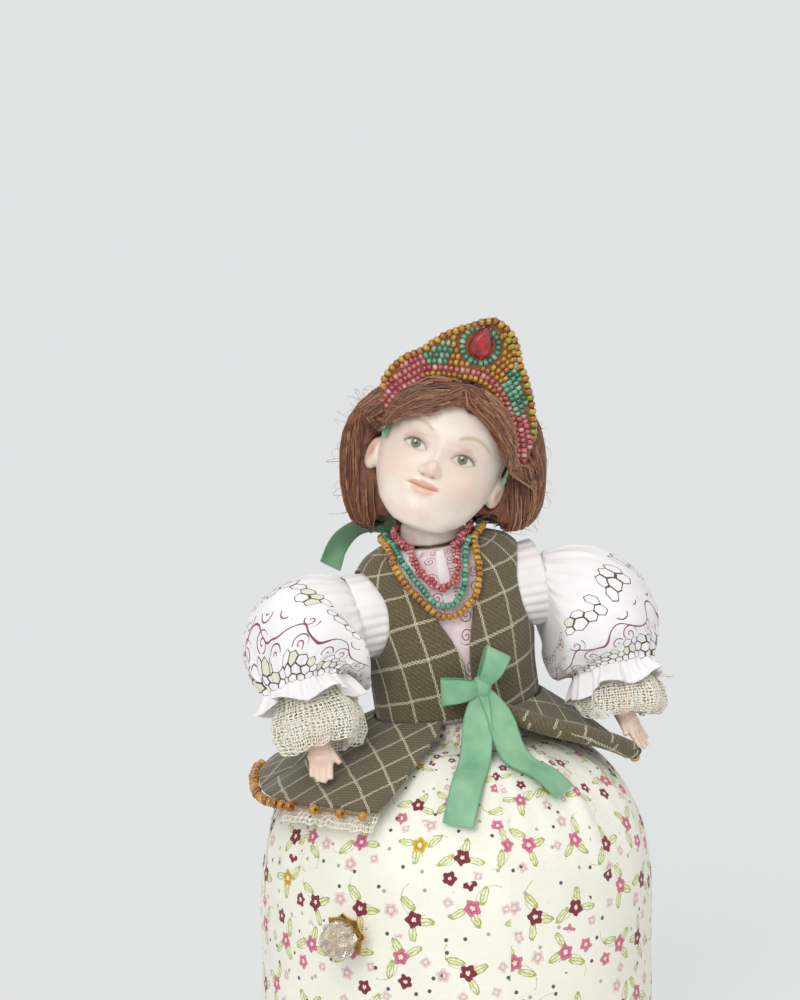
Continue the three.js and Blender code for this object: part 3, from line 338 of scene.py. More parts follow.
def finish(piece, material, body, *nodes, sharp=None):
    """Gives a piece its material, its smooth shading and the body it rides on."""
    piece.data.materials.clear()
    piece.data.materials.append(material)
    select_only(piece)
    if sharp:
        bpy.ops.object.shade_smooth_by_angle(angle=math.radians(sharp))
    else:
        bpy.ops.object.shade_smooth()
    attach(piece, body)
    if nodes:
        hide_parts(*nodes)
    print(piece.name, len(piece.data.polygons), "faces")


# %% [markdown]
# ## Smooth lines through a few points
# The forms are given by a few measured points. A Catmull-Rom curve runs smoothly through all of
# them, so a few numbers give a whole profile. The doll's body leans to her right from the
# waist, and her head is turned and tilted back, so two small functions carry points drawn
# upright into those leaning frames.

# %% Curves and frames
def through(points, closed=False):
    """A smooth curve through points, as a function of t in 0..1."""
    points = np.asarray(points, float)
    if closed:
        line = np.vstack([points[-1:], points, points[:2]])
    else:
        line = np.vstack([2 * points[:1] - points[1:2], points, 2 * points[-1:] - points[-2:-1]])
    steps = np.maximum(np.sum(np.diff(line, axis=0) ** 2, axis=1) ** 0.25, 1e-4)
    pieces = len(line) - 3

    def at(t):
        place = np.clip(np.asarray(t, float), 0, 1) * pieces
        i = np.minimum(place.astype(int), pieces - 1)
        w = (place - i)[..., None]
        a, b, c, d = (line[i + k] for k in range(4))
        before, here, after = (steps[i + k][..., None] for k in range(3))
        start = ((b - a) / before - (c - a) / (before + here)) * here + (c - b)
        end = (c - b) - ((d - b) / (here + after) - (d - c) / after) * here
        bend = 3 * (c - b) - 2 * start - end + w * (start + end - 2 * (c - b))
        return b + w * (start + w * bend)

    return at


def rows(table):
    """Rows of numbers as smooth functions of v in 0..1."""
    table = np.asarray(table, float)
    steps = np.linspace(0, 1, len(table))
    curves = [through(np.column_stack([steps, column])) for column in table.T]
    return lambda v: np.stack([curve(v)[..., 1] for curve in curves], axis=-1)


def xyz(x, y, z):
    return np.stack(np.broadcast_arrays(x, y, z), axis=-1).astype(float)


def unit(vectors):
    return vectors / np.maximum(np.linalg.norm(vectors, axis=-1, keepdims=True), 1e-9)


def outward(surface, u, v):
    step = 1e-3
    sideways = surface(u + step, v) - surface(u - step, v)
    upwards = surface(u, np.minimum(v + step, 1)) - surface(u, np.maximum(v - step, 0))
    return unit(np.cross(sideways, upwards))


def lifted(surface, away):
    """The surface moved off itself, square to its face. away is a number or a function of u, v."""
    def moved(u, v):
        height = away(u, v) if callable(away) else away
        return surface(u, v) + outward(surface, u, v) * np.asarray(height)[..., None]
    return moved


def even(line, pitch, closed=False):
    """Points along a curve at an even spacing."""
    fine = line(np.linspace(0, 1, 2000))
    reach = np.concatenate([[0], np.cumsum(np.linalg.norm(np.diff(fine, axis=0), axis=1))])
    count = max(2, round(reach[-1] / pitch))
    places = np.linspace(0, reach[-1], count + 1)
    places = places[:-1] if closed else places
    return np.stack([np.interp(places, reach, fine[:, k]) for k in range(fine.shape[1])], axis=1)


def smoothstep(value, low, high):
    t = np.clip((value - low) / (high - low), 0, 1)
    return t * t * (3 - 2 * t)


WAIST_Z = 118
LEAN = np.array(Matrix.Rotation(math.radians(-8.4), 3, "Y"))
HEAD_AT = np.array([-5.5, -0.3, 199])
HEAD_TURN = np.array(
    Matrix.Rotation(math.radians(-18.5), 3, "Z")
    @ Matrix.Rotation(math.radians(20), 3, "Y")
    @ Matrix.Rotation(math.radians(-8), 3, "X")
)


def leaning(points):
    return points @ LEAN.T + [0, 0, WAIST_Z]


def on_head(points):
    return points @ HEAD_TURN.T + HEAD_AT


TURN = 2 * math.pi
seeded = np.random.default_rng(7)

# %% [markdown]
# ## The skirt
# The skirt is the pincushion: a drum of tightly stuffed cloth with a domed top. Its cover is one
# tube of printed cotton, gathered at the waist, so folds run out from under the bow and fade
# down the side. The profile is drawn once and turned round, and the gathers push it in and out.
# Then a cloth simulation lets the stuffing press the cover out, as the wadding does.

# %% The cover
CUSHION_R, CUSHION_TOP, SHOULDER_Z, NECK_R = 63, 110, 66, 22
CUSHION_RISE = CUSHION_TOP - SHOULDER_Z
FOOT_Z, CORNER = 1.5, 5
PRINT_R = 60  # the print's map is in millimetres round a tube of this radius

profile = [[CUSHION_R - 12, FOOT_Z]]
for a in (0, 45, 90):
    a = math.radians(a)
    in_corner = CORNER * math.sin(a), CORNER * math.cos(a)
    profile.append([CUSHION_R - CORNER + in_corner[0], FOOT_Z + CORNER - in_corner[1]])
profile.append([CUSHION_R, 36])
for a in (0, 20, 38, 56, 73, 90):
    a = math.radians(a)
    out, rise = (CUSHION_R - NECK_R) * math.cos(a), CUSHION_RISE * math.sin(a)
    profile.append([NECK_R + out, SHOULDER_Z + rise])
profile += [[20.3, 112.3], [17.4, 116.5]]  # drawn in under the waist
skirt_line = even(through(profile), 0.5)
skirt_reach = np.linspace(0, 1, len(skirt_line))
skirt_arc = np.cumsum(np.r_[0, np.linalg.norm(np.diff(skirt_line, axis=0), axis=1)])
# A print keeps its shape where the cloth runs in to the waist, so its map shrinks with the radius
skirt_map = np.cumsum(np.r_[0, np.diff(skirt_arc) * PRINT_R / np.maximum(skirt_line[1:, 0], 20)])

# How many folds go round, their shift in radians and their size in millimetres
FOLDS = [(12, 0.0, 0.55), (19, 1.0, 0.5), (29, 2.2, 0.35), (7, 0.4, 0.4), (43, 0.7, 0.2)]


def skirt(u, v):
    turn = TURN * u
    radius = np.interp(v, skirt_reach, skirt_line[:, 0])
    z = np.interp(v, skirt_reach, skirt_line[:, 1])
    near_waist = smoothstep(z, 45, 106)
    bent = 0.5 * np.sin(3 * turn)
    folds = sum(size * np.cos(count * turn + shift + bent) for count, shift, size in FOLDS)
    soft = 0.35 * np.cos(5 * turn + z / 17) + 0.25 * np.cos(8 * turn - z / 11)
    side = smoothstep(z, 4, 20)
    radius = radius + side * (near_waist**1.5 * (folds - 1.2) * 1.1 + soft * 0.8 - 0.5)
    return xyz(radius * np.sin(turn), -radius * np.cos(turn), z - 0.7 * near_waist)


def print_map(u, v):
    return np.column_stack([(u - 0.5) * TURN * PRINT_R, np.interp(v, skirt_reach, skirt_map)])


cover = sheet_of("skirt_printed_cotton", skirt, 360, 110, print_map)
merge_close(cover)

# %% Stuffing presses the cover out
def press_out(piece, pressure, cap, held, frames=20):
    """Cloth simulation with air inside. Points for which held is true stay, and no point moves
    further than cap, in millimetres."""
    before = points_of(piece)
    group = piece.vertex_groups.new(name="held")
    group.add([int(i) for i in np.nonzero(held(before))[0]], 1, "REPLACE")
    select_only(piece)
    cloth = piece.modifiers.new("Cloth", "CLOTH")
    cloth.settings.use_pressure = True
    cloth.settings.uniform_pressure_force = pressure
    cloth.settings.effector_weights.gravity = 0
    cloth.settings.vertex_group_mass = "held"
    cloth.settings.quality = 4
    cloth.point_cache.frame_end = frames
    for step in range(1, frames + 1):
        bpy.context.scene.frame_set(step)
    bpy.ops.object.modifier_apply(modifier="Cloth")
    bpy.context.scene.frame_set(1)
    moved = points_of(piece) - before
    far = np.linalg.norm(moved, axis=1, keepdims=True)
    move_points(piece, before + moved * np.minimum(1, cap / np.maximum(far, 1e-9)))
    piece.vertex_groups.clear()
    print(piece.name, "moved by up to", round(float(far.max()), 2), "mm, kept to", cap)


HELD_BELOW, HELD_ABOVE = 3, 108  # the heights where the foot and the waist hold the cover
press_out(cover, 3, 1.2, lambda p: (p[:, 2] < HELD_BELOW) | (p[:, 2] > HELD_ABOVE))
solid_cloth(cover, 0.8)

# %% [markdown]
# ## Printed cotton
# The cloth is a plain-weave quilting cotton in warm white, printed with small posies: maroon,
# pink and pale pink flowers with light centres, a few of mustard, sprigs of lime leaves with
# olive outlines, and grey dots between. A Voronoi pattern scatters one posy to a cell. Inside a
# cell, the place is measured from the cell's point and turned by a random angle, and each
# flower and leaf is a plain shape there. Threads lie 0.35 mm apart on the real cloth, which is
# one pixel, so the weave is drawn at 0.7 mm.

# %% Printed cotton
def cells(tree, place, size, jitter):
    """Scattered cells: the place in each one from its own point, and the cell's random numbers."""
    scatter = add(tree, "TexVoronoi", voronoi_dimensions="2D", Vector=place, Scale=1 / size)
    wire(tree, scatter, Randomness=jitter)
    inside = add(tree, "VectorMath", place, scatter.outputs["Position"], operation="SUBTRACT")
    chance = add(tree, "SeparateColor", scatter.outputs["Color"])
    angle = add(tree, "Math", chance.outputs[0], TURN, operation="MULTIPLY")
    turned = add(tree, "VectorRotate", inside, rotation_type="Z_AXIS", Angle=angle)
    return turned, chance


def from_origin(tree, place):
    return add(tree, "VectorMath", place, operation="LENGTH").outputs["Value"]


def shape_at(tree, inside, x, y, angle, wide, high):
    """Distance from a shape's middle, 1 at the edge of an ellipse, and the place within it."""
    middle, turned, size = (x, y, 0), (0, 0, angle), (wide / 2, high / 2, 1)
    shape = add(tree, "Mapping", inside, middle, turned, size, vector_type="TEXTURE")
    return from_origin(tree, shape), shape


def turn_in(tree, place):
    """The angle of a place round the origin."""
    parts = add(tree, "SeparateXYZ", place)
    return add(tree, "Math", parts.outputs[1], parts.outputs[0], operation="ARCTAN2")


def petalled(tree, inside, x, y, size, petals):
    """A flower's distance, 1 at the edge of its petals."""
    far, shape = shape_at(tree, inside, x, y, 0.3 * x, size, size)
    wave = add(tree, "Math", turn_in(tree, shape), petals, operation="MULTIPLY")
    wave = add(tree, "Math", wave, operation="COSINE")
    edge = add(tree, "Math", wave, 0.13, 0.87, operation="MULTIPLY_ADD")
    return add(tree, "Math", far, edge, operation="DIVIDE")


def scrolls(tree, place, size, jitter, pitch, line, reach):
    """Scattered spirals out to the reach: 1 where a spiral is nearer than line."""
    curl, _ = cells(tree, place, size, jitter)
    radius = from_origin(tree, curl)
    spiral = add(tree, "Math", turn_in(tree, curl), pitch / TURN, radius, operation="MULTIPLY_ADD")
    spiral = add(tree, "Math", spiral, pitch / 2, operation="PINGPONG")
    spiral = add(tree, "Math", spiral, line, operation="LESS_THAN")
    inside = add(tree, "Math", radius, reach, operation="LESS_THAN")
    return add(tree, "Math", spiral, inside, operation="MULTIPLY")


def shaken(tree, place, scale, detail, by, onto=None):
    """A place moved a little by noise, so that lines waver."""
    noise = add(tree, "TexNoise", Vector=place, Scale=scale, Detail=detail).outputs["Color"]
    noise = add(tree, "VectorMath", noise, (0.5, 0.5, 0.5), operation="SUBTRACT")
    onto = place if onto is None else onto
    return add(tree, "VectorMath", noise, by, onto, operation="MULTIPLY_ADD")


def ridges(tree, place, pitch, direction, **named):
    """Ridges at a pitch in millimetres, as threads side by side."""
    scale = TURN / 20 / pitch  # the wave texture has 20 radians to a unit
    return add(tree, "TexWave", Vector=place, bands_direction=direction, Scale=scale, **named)


cotton, tree, shader = new_material("printed quilting cotton")
place = add(tree, "UVMap", uv_map="UVMap").outputs[0]
colour = "F4F2E4"
posy, chance = cells(tree, place, 17, 0.45)
posy = shaken(tree, place, 0.9, 1, (0.9, 0.9, 0.9), posy)

stem_far, _ = shape_at(tree, posy, 4.4, -5.2, 0, 11, 11)
on_stem = add(tree, "Math", stem_far, 1, 0.022, operation="COMPARE")
stem_side = add(tree, "SeparateXYZ", posy).outputs[1]
stem_side = add(tree, "Math", stem_side, -4.6, operation="GREATER_THAN")
on_stem = add(tree, "Math", on_stem, stem_side, operation="MULTIPLY")
colour = add(tree, "Mix", on_stem, colour, "C3C58C", data_type="RGBA")

LEAVES = [(-2.6, -3.2, -0.5, 2.6, 6.8), (4.6, -1.5, 1.9, 2.3, 6.2), (-4.4, 1.6, 1.1, 2.3, 5.8)]
for leaf in LEAVES:
    far, shape = shape_at(tree, posy, *leaf)
    patch = add(tree, "TexNoise", Vector=place, Scale=0.55, Detail=2)
    patch = add(tree, "Math", patch.outputs[0], 0.5, operation="GREATER_THAN")
    green = add(tree, "Mix", patch, "EEF0D6", "D9E0A6", data_type="RGBA")
    vein = add(tree, "Math", add(tree, "SeparateXYZ", shape).outputs[0], operation="ABSOLUTE")
    vein = add(tree, "Math", vein, 0.14, operation="LESS_THAN")
    green = add(tree, "Mix", vein, green, "B3BC70", data_type="RGBA")
    for edge, tint in ((1.0, "A9B263"), (0.76, green)):
        inside = add(tree, "Math", far, edge, operation="LESS_THAN")
        colour = add(tree, "Mix", inside, colour, tint, data_type="RGBA")

FIRST_TINTS = [(0, "7E2D3C"), (0.45, "D4748F"), (0.82, "CDAE2E")]
SECOND_TINTS = [(0, "D97F98"), (0.4, "E9CDCB"), (0.75, "7E2D3C")]
DOT_TINTS = [(0, "5A5553"), (0.55, "A9B08A"), (0.8, "C9A6A4")]
first = add(tree, "ValToRGB", chance.outputs[1], stops=FIRST_TINTS, interpolation="CONSTANT")
second = add(tree, "ValToRGB", chance.outputs[2], stops=SECOND_TINTS, interpolation="CONSTANT")
for tint, *flower in (
    (first, -0.6, -0.8, 5.6, 5), (second, 5.0, 4.2, 4.8, 5), ("EBD5D0", -3.6, 6.2, 3.7, 4)
):
    far = petalled(tree, posy, *flower)
    deep = add(tree, "Mix", 0.35, tint, "5A2430", data_type="RGBA")
    for operation, limits, layer in (
        ("LESS_THAN", [1.0], tint), ("COMPARE", [0.52, 0.1], deep), ("LESS_THAN", [0.3], "F0E3C8")
    ):
        mask = add(tree, "Math", far, *limits, operation=operation)
        colour = add(tree, "Mix", mask, colour, layer, data_type="RGBA")

DOT_R, DOT_SHARE = 0.62, 0.62  # a dot's radius, and the share of cells that have one
dots, dot_chance = cells(tree, place, 6.2, 0.9)
small = add(tree, "Math", from_origin(tree, dots), DOT_R, operation="LESS_THAN")
few = add(tree, "Math", dot_chance.outputs[1], DOT_SHARE, operation="LESS_THAN")
clear = add(tree, "Math", from_origin(tree, posy), 6.6, operation="GREATER_THAN")
spot = add(tree, "Math", small, few, operation="MULTIPLY")
spot = add(tree, "Math", spot, clear, operation="MULTIPLY")
dot_tint = add(tree, "ValToRGB", dot_chance.outputs[2], stops=DOT_TINTS, interpolation="CONSTANT")
colour = add(tree, "Mix", spot, colour, dot_tint, data_type="RGBA")

shade = add(tree, "TexNoise", Vector=place, Scale=0.03, Detail=2)
faded = add(tree, "MapRange", shade.outputs[0], 0.3, 0.7, 0.95, 1.02)
wire(tree, shader, Base_Color=add(tree, "VectorMath", colour, faded, operation="MULTIPLY"))
wire(tree, shader, Roughness=0.86, Sheen_Weight=0.15, Sheen_Roughness=0.5)
warp, weft = (ridges(tree, place, 0.7, direction, Distortion=0.6) for direction in "XY")
weave = add(tree, "Math", warp, weft, operation="ADD")
creases = add(tree, "TexNoise", Vector=place, Scale=0.12, Detail=3)
height = add(tree, "Math", creases.outputs[0], 14, weave, operation="MULTIPLY_ADD")
wire(tree, shader, Normal=add(tree, "Bump", Strength=0.5, Distance=0.00008, Height=height))

finish(cover, cotton, "skirt_and_body", "skirt_cover")

# %% [markdown]
# ## The vest and its peplum
# The vest is cut from an olive-brown wool with a cream windowpane check. It has two fronts and a
# back, joined at the sides, and below the waist a flared peplum of three panels. Each panel is a
# sheet on the body's surface with the wool's real thickness. The armholes are cut afterwards
# with a ball, as scissors would cut them, so the check runs on to the very edge.

# %% The body under the clothes
BODY_RINGS = [
    [24, 18, -1], [24, 19, 10], [25.5, 20, 23], [27, 19, 34.5],
    [26.5, 16, 43], [22, 12.5, 49.5], [14, 10, 53],
]
body_at = rows(BODY_RINGS)


def body(u, v):
    half_wide, half_deep, z = np.moveaxis(body_at(v), -1, 0)
    return xyz(half_wide * np.sin(TURN * u), -half_deep * np.cos(TURN * u), z)


BLOUSE_OUT, VEST_OUT = 1.19, 3.09  # how far their faces lie outside the body, in millimetres
SHOULDER = np.array([26, -1, 34.5])
ARMHOLE_R = 14.5

# %% [markdown]
# ## Checked wool
# The wool is a 2/2 twill: its threads cross over two and under two, which gives fine diagonal
# ribs. Cream threads in small zigzags cross every 9 mm and make the check. The ribs are about
# 0.5 mm apart on the real cloth and are drawn at 0.8 mm so that they show. The yarn's colour
# wanders a little, and the surface is matt with a faint fuzz.

# %% Checked wool
CHECK = 9.2  # between the lines of the check
wool, tree, shader = new_material("checked wool twill")
cut = add(tree, "UVMap", uv_map="UVMap").outputs[0]
place = add(tree, "VectorRotate", cut, rotation_type="Z_AXIS", Angle=math.radians(-8))
bent = shaken(tree, place, 0.25, 2, (0.9, 0.9, 0.9))
yarn = add(tree, "TexNoise", Vector=place, Scale=1.4, Detail=4, Roughness=0.7)
stops = [(0.3, "4E4632"), (0.52, "695E43"), (0.75, "827457")]
colour = add(tree, "ValToRGB", yarn.outputs[0], stops=stops)
parts = add(tree, "SeparateXYZ", bent)
ribs = ridges(tree, place, 0.8, "DIAGONAL", Distortion=1.2, Detail=1)
in_shade = add(tree, "Math", ribs.outputs[1], 0.45, operation="MULTIPLY")
colour = add(tree, "Mix", in_shade, colour, "3F3A28", data_type="RGBA")
lines = 0.0
for axis in (0, 1):
    from_line = add(tree, "Math", parts.outputs[axis], CHECK / 2, operation="PINGPONG")
    slant = add(tree, "Math", parts.outputs[1 - axis], 0.62, operation="PINGPONG")
    slant = add(tree, "Math", slant, 0.55, 0.02, operation="MULTIPLY_ADD")
    zigzag = add(tree, "Math", from_line, slant, 0.13, operation="COMPARE")
    lines = add(tree, "Math", lines, zigzag, operation="MAXIMUM")
colour = add(tree, "Mix", lines, colour, "CBC4A8", data_type="RGBA")
wire(tree, shader, Base_Color=colour, Roughness=0.92, Sheen_Weight=0.25, Sheen_Roughness=0.5)
raised = add(tree, "Math", lines, 0.8, ribs.outputs[1], operation="MULTIPLY_ADD")
raised = add(tree, "Math", yarn.outputs[0], 1.2, raised, operation="MULTIPLY_ADD")
wire(tree, shader, Normal=add(tree, "Bump", Strength=0.6, Distance=0.0002, Height=raised))

# %% Vest panels
VEST_LOW, VEST_HIGH = 0.02, 0.985  # its hem and shoulder as levels of the body
SEAM = 0.35  # half the gap between two panels, in degrees
BODY_ROUND, BODY_LONG = TURN * 25, 56  # the flat size of the cloth round the body
neck_left = rows([[-1], [-3.5], [-17.5], [-37], [-74]])
neck_right = rows([[1], [1.2], [9.5], [23], [31]])


def cloth_relief(turn, z):
    """Soft pulls and dents of a fitted cloth, in millimetres."""
    dents = 0.25 * np.sin(z / 4.1 + 2 * turn) * np.cos(3 * turn + 1)
    return dents + 0.2 * np.sin(5 * turn + z / 6.3)


def vest_panel(name, node, edges, across):
    """A panel between two edges, given as turns in degrees at each v."""
    def panel(u, v):
        a, b = edges(v)
        turn = (a + (b - a) * u) / 360
        level = VEST_LOW + (VEST_HIGH - VEST_LOW) * v
        relief = cloth_relief(TURN * turn, 55 * level)
        return leaning(lifted(body, VEST_OUT - 0.3 + 0.6 * relief)(turn, level))

    def flat(u, v):
        a, b = edges(v)
        return np.column_stack([(a + (b - a) * u) / 360 * BODY_ROUND, BODY_LONG * v])

    made = sheet_of(name, panel, across, 60, flat)
    solid_cloth(made, 1.3)
    round_edges(made, 0.35)
    for side in (-1, 1):
        bpy.ops.object.select_all(action="DESELECT")
        bpy.ops.mesh.primitive_uv_sphere_add(
            segments=96, ring_count=64, radius=ARMHOLE_R * MM,
            location=leaning(SHOULDER * [side, 1, 1]) * MM,
        )
        cut_away(made, bpy.context.object)
    finish(made, wool, "skirt_and_body", node, sharp=40)


vest_panel("vest_left", "vest_left_front", lambda v: (-92 + SEAM, neck_left(v)[..., 0]), 60)
vest_panel("vest_right", "vest_right_front", lambda v: (neck_right(v)[..., 0], 92 - SEAM), 60)
vest_panel("vest_back_panel", "vest_back", lambda v: (92 + SEAM, 268 - SEAM), 90)

# %% Peplum panels
PEPLUM_R, PEPLUM_SHIFT, PEPLUM_HEM_Z, PEPLUM_TILT = 59.5, -4.5, 98, math.radians(4.5)
waist_wide, waist_deep, waist_low = body_at(np.array(VEST_LOW))


def peplum(turn, v):
    across, deep = waist_wide + VEST_OUT, waist_deep + VEST_OUT
    top = leaning(xyz(across * np.sin(turn), -deep * np.cos(turn), waist_low - 0.9))
    wave = 1 + (0.8 / PEPLUM_R) * np.cos(6 * turn + 1)
    hem_x = PEPLUM_SHIFT + PEPLUM_R * wave * np.sin(turn)
    hem_z = PEPLUM_HEM_Z + hem_x * math.tan(PEPLUM_TILT) + 0.8 * np.cos(6 * turn)
    hem = xyz(hem_x, -PEPLUM_R * wave * np.cos(turn), hem_z)
    v = np.asarray(v)[..., None]
    made = top + (hem - top) * v
    made[..., 2] += 0.5 * np.sin(math.pi * v[..., 0])
    return made


def peplum_panel(name, node, edges, across):
    def turned(u, v):
        a, b = edges(v)
        return np.radians(a + (b - a) * u)

    def panel(u, v):
        turn = turned(u, v)
        sag = 0.5 * v * np.sin(7 * turn + 3 * v) + 0.3 * v * np.sin(13 * turn - 2)
        return lifted(peplum, sag)(turn, v)

    def flat(u, v):
        """Cut flat, a flared panel is a piece of a ring."""
        reach, turn = 31.6 + 38.6 * v, 0.855 * turned(u, v)
        return np.column_stack([reach * np.sin(turn), -reach * np.cos(turn)])

    made = sheet_of(name, panel, across, 44, flat)
    solid_cloth(made, 1.25)
    round_edges(made, 0.5, segments=3)
    finish(made, wool, "skirt_and_body", node, sharp=40)


def slanting_edge(v):
    """The turn of the right panel's front edge, in degrees."""
    return 8 + 60 * np.asarray(v) ** 0.7


peplum_panel("peplum_left_panel", "peplum_left", lambda v: (-95 + SEAM, -22 - 14 * v), 70)
peplum_panel("peplum_right_panel", "peplum_right", lambda v: (slanting_edge(v), 95 - SEAM), 60)
peplum_panel("peplum_back_panel", "peplum_back", lambda v: (95 + SEAM, 265 - SEAM), 140)


# The right panel's front edge is rolled back on itself, a roll about 5 mm thick
def rolled(u, v):
    def middle(level):
        return lifted(peplum, -1.9)(np.radians(slanting_edge(level) + 1.5), level)

    turn = TURN * u
    along = unit(middle(np.minimum(v + 0.02, 1.02)) - middle(np.maximum(v - 0.02, 0)))
    side = unit(np.cross(along, [0, 0, 1]))
    over = np.cross(side, along)
    size = (2.3 + 0.15 * np.sin(9 * v + turn))[..., None]
    turn = turn[..., None]
    return middle(v) + side * (size * np.cos(turn)) + over * (0.85 * size * np.sin(turn))


roll = sheet_of("peplum_right_roll", rolled, 28, 80, lambda u, v: np.column_stack([15 * u, 50 * v]))
merge_close(roll)
solid_cloth(roll, 1.0)
finish(roll, wool, "skirt_and_body")

# %% [markdown]
# ## Crochet lace
# Crochet is one cotton yarn looped into itself, so it is full of real holes and its edge ends in
# scallops. A picture of lace on a flat strip looks wrong from the side. So the net is a mesh:
# each edge of a grid becomes a round yarn with the Wireframe modifier, every second row is
# shifted by half a cell so that the holes stagger, and a few rows are tighter than others.

# %% Crochet lace
stops = [(0.3, "ECE3CB"), (0.55, "F5EFDF"), (0.75, "FBF8F0")]
lace, tree, shader, place, _ = toned("crocheted cotton lace", 0.35, 3, stops)
wire(tree, shader, Roughness=0.9, Sheen_Weight=0.3, Subsurface_Weight=0.1)
wire(tree, shader, Subsurface_Radius=(1, 0.8, 0.6), Subsurface_Scale=0.0005)
twist = ridges(tree, place, 0.5, "DIAGONAL", Distortion=3, Detail=2)
wire(tree, shader, Normal=add(tree, "Bump", Strength=0.7, Distance=0.00015, Height=twist))


def crochet(name, surface, around, up_rows, yarn, tight, closed=True):
    """A net on surface(u, v), its rows staggered and some of them tight. The yarn's thickness is
    in millimetres."""
    def staggered(u, v):
        row = np.round(v * up_rows)
        shift = 0.5 * (row % 2) / around
        wander = 0.25 / around * np.sin(57 * row + 91 * (np.round(u * around) % around))
        level = v.copy()
        for r in tight:
            level = np.where(row == r, (r - 0.35) / up_rows, level)
        places = surface(u + shift + wander, level)
        return places + 0.22 * np.sin(places[..., ::-1] * 4.1 + places * 2.7)

    net = sheet_of(name, staggered, around, up_rows)
    if closed:
        merge_close(net, 0.05)
    modify(
        net, "WIREFRAME", thickness=yarn * MM,
        use_even_offset=False, use_boundary=True, use_replace=True,
    )
    modify(net, "SUBSURF", levels=1, render_levels=1)
    return net


def hem_lace(u, v):
    turn = np.radians(-72 + 34.5 * u)
    under = lifted(peplum, 1.9)(turn, 0.86 + 0.14 * v)
    scallop = 4.0 + 0.9 * np.abs(np.sin(9 * math.pi * u)) + 0.3 * np.sin(40 * u)
    down = unit(xyz(np.sin(turn), -np.cos(turn), -1.4 + 0 * turn))
    return under + down * (scallop * v * v)[..., None]


hem_edge = crochet("peplum_hem_lace", hem_lace, 34, 7, 0.5, tight=(3,), closed=False)
finish(hem_edge, lace, "skirt_and_body", "peplum_lace")

# %% [markdown]
# ## Blouse, neck and necklaces
# Under the vest a blouse of lilac cotton shows at the neckline, with a fine embroidered scroll
# and a white buttoned placket. The neck is glazed clay and is remade from the CAD solid, evenly
# meshed and smoothed.

# %% Blouse
blouse_cloth, tree, shader = new_material("lilac blouse cotton")
place = add(tree, "UVMap", uv_map="UVMap").outputs[0]
scroll = scrolls(tree, place, 6.5, 0.3, 1.2, 0.13, 2.3)
tone = add(tree, "TexNoise", Vector=place, Scale=0.2, Detail=2)
colour = add(tree, "ValToRGB", tone.outputs[0], stops=[(0.35, "DDC6C8"), (0.7, "EADCDD")])
from_front = add(tree, "Math", add(tree, "SeparateXYZ", place).outputs[0], operation="ABSOLUTE")
at_side = add(tree, "Math", from_front, 11.5, operation="GREATER_THAN")
for mask, tint in ((scroll, "6B3347"), (at_side, "F1EDED")):
    colour = add(tree, "Mix", mask, colour, tint, data_type="RGBA")
wire(tree, shader, Base_Color=colour, Roughness=0.85, Sheen_Weight=0.2)
weave = ridges(tree, place, 0.7, "X")
wire(tree, shader, Normal=add(tree, "Bump", Strength=0.4, Distance=0.0001, Height=weave))

blouse = sheet_of(
    "blouse_cloth", lambda u, v: leaning(lifted(body, BLOUSE_OUT - 0.05)(u - 0.5, v)), 110, 60,
    lambda u, v: np.column_stack([(u - 0.5) * BODY_ROUND, BODY_LONG * v]),
)
merge_close(blouse)
solid_cloth(blouse, 0.6)
finish(blouse, blouse_cloth, "skirt_and_body", "blouse")

# %% White cotton and the placket
stops = [(0.35, "E9E2E2"), (0.7, "F5F1F0")]
plain_cotton, tree, shader, place, _ = toned("white cotton batiste", 0.08, 2, stops)
wire(tree, shader, Roughness=0.85, Sheen_Weight=0.2)
slub = add(tree, "TexNoise", Vector=place, Scale=1.6, Detail=3)
wire(tree, shader, Normal=add(tree, "Bump", Strength=0.4, Distance=0.00015, Height=slub))

def placket_at(u, v):
    return leaning(lifted(body, BLOUSE_OUT + 0.35)((-9 + 8 * u) / 360, 0.52 + 0.44 * v))


placket = sheet_of("blouse_placket", placket_at, 8, 40)
solid_cloth(placket, 0.4)
round_edges(placket, 0.12)
finish(placket, plain_cotton, "skirt_and_body")

# %% [markdown]
# ## Porcelain
# The head, neck and hands are a fine modelling porcelain, painted and sealed with a satin glaze.
# Light sinks a little way into it, so it has some subsurface scattering, and its gloss is soft.

# %% Porcelain
def porcelain_material(name, stops=((0.35, "E8DBCC"), (0.7, "F1E6DA")), painted=False):
    made, tree, shader = new_material(name)
    place = millimetres(tree)
    tone = add(tree, "TexNoise", Vector=place, Scale=0.12, Detail=3)
    colour = add(tree, "ValToRGB", tone.outputs[0], stops=stops)
    if painted:
        layer = add(tree, "VertexColor", layer_name="paint").outputs[0]
        colour = add(tree, "Mix", 1.0, colour, layer, data_type="RGBA", blend_type="MULTIPLY")
    wire(tree, shader, Base_Color=colour, Roughness=0.42, Coat_Weight=0.15, Coat_Roughness=0.3)
    wire(tree, shader, Subsurface_Weight=0.12, Subsurface_Scale=0.0015)
    wire(tree, shader, Subsurface_Radius=(1.0, 0.5, 0.35))
    grain = add(tree, "TexNoise", Vector=place, Scale=2.2, Detail=3)
    wire(tree, shader, Normal=add(tree, "Bump", Strength=0.25, Distance=0.00006, Height=grain))
    return made


porcelain = porcelain_material("satin glazed porcelain")
painted_porcelain = porcelain_material("painted porcelain", painted=True)
pink_porcelain = porcelain_material("tinted porcelain", ((0.35, "E2C3B2"), (0.7, "ECD5C6")))

neck = remade("neck", "porcelain_neck", 0.8, smooth=10)
finish(neck, porcelain, "skirt_and_body", "neck")

# %% [markdown]
# ## Glass beads
# Seed beads are short pieces of glass tube, melted round. Each is a small ring of a few faces
# whose hole runs along the thread. One bead is made with the torus primitive, and its points are
# copied to every place in a row. Each copy keeps a random number, and the material gives it a
# slightly different tint, because beads from one bag are never all alike.

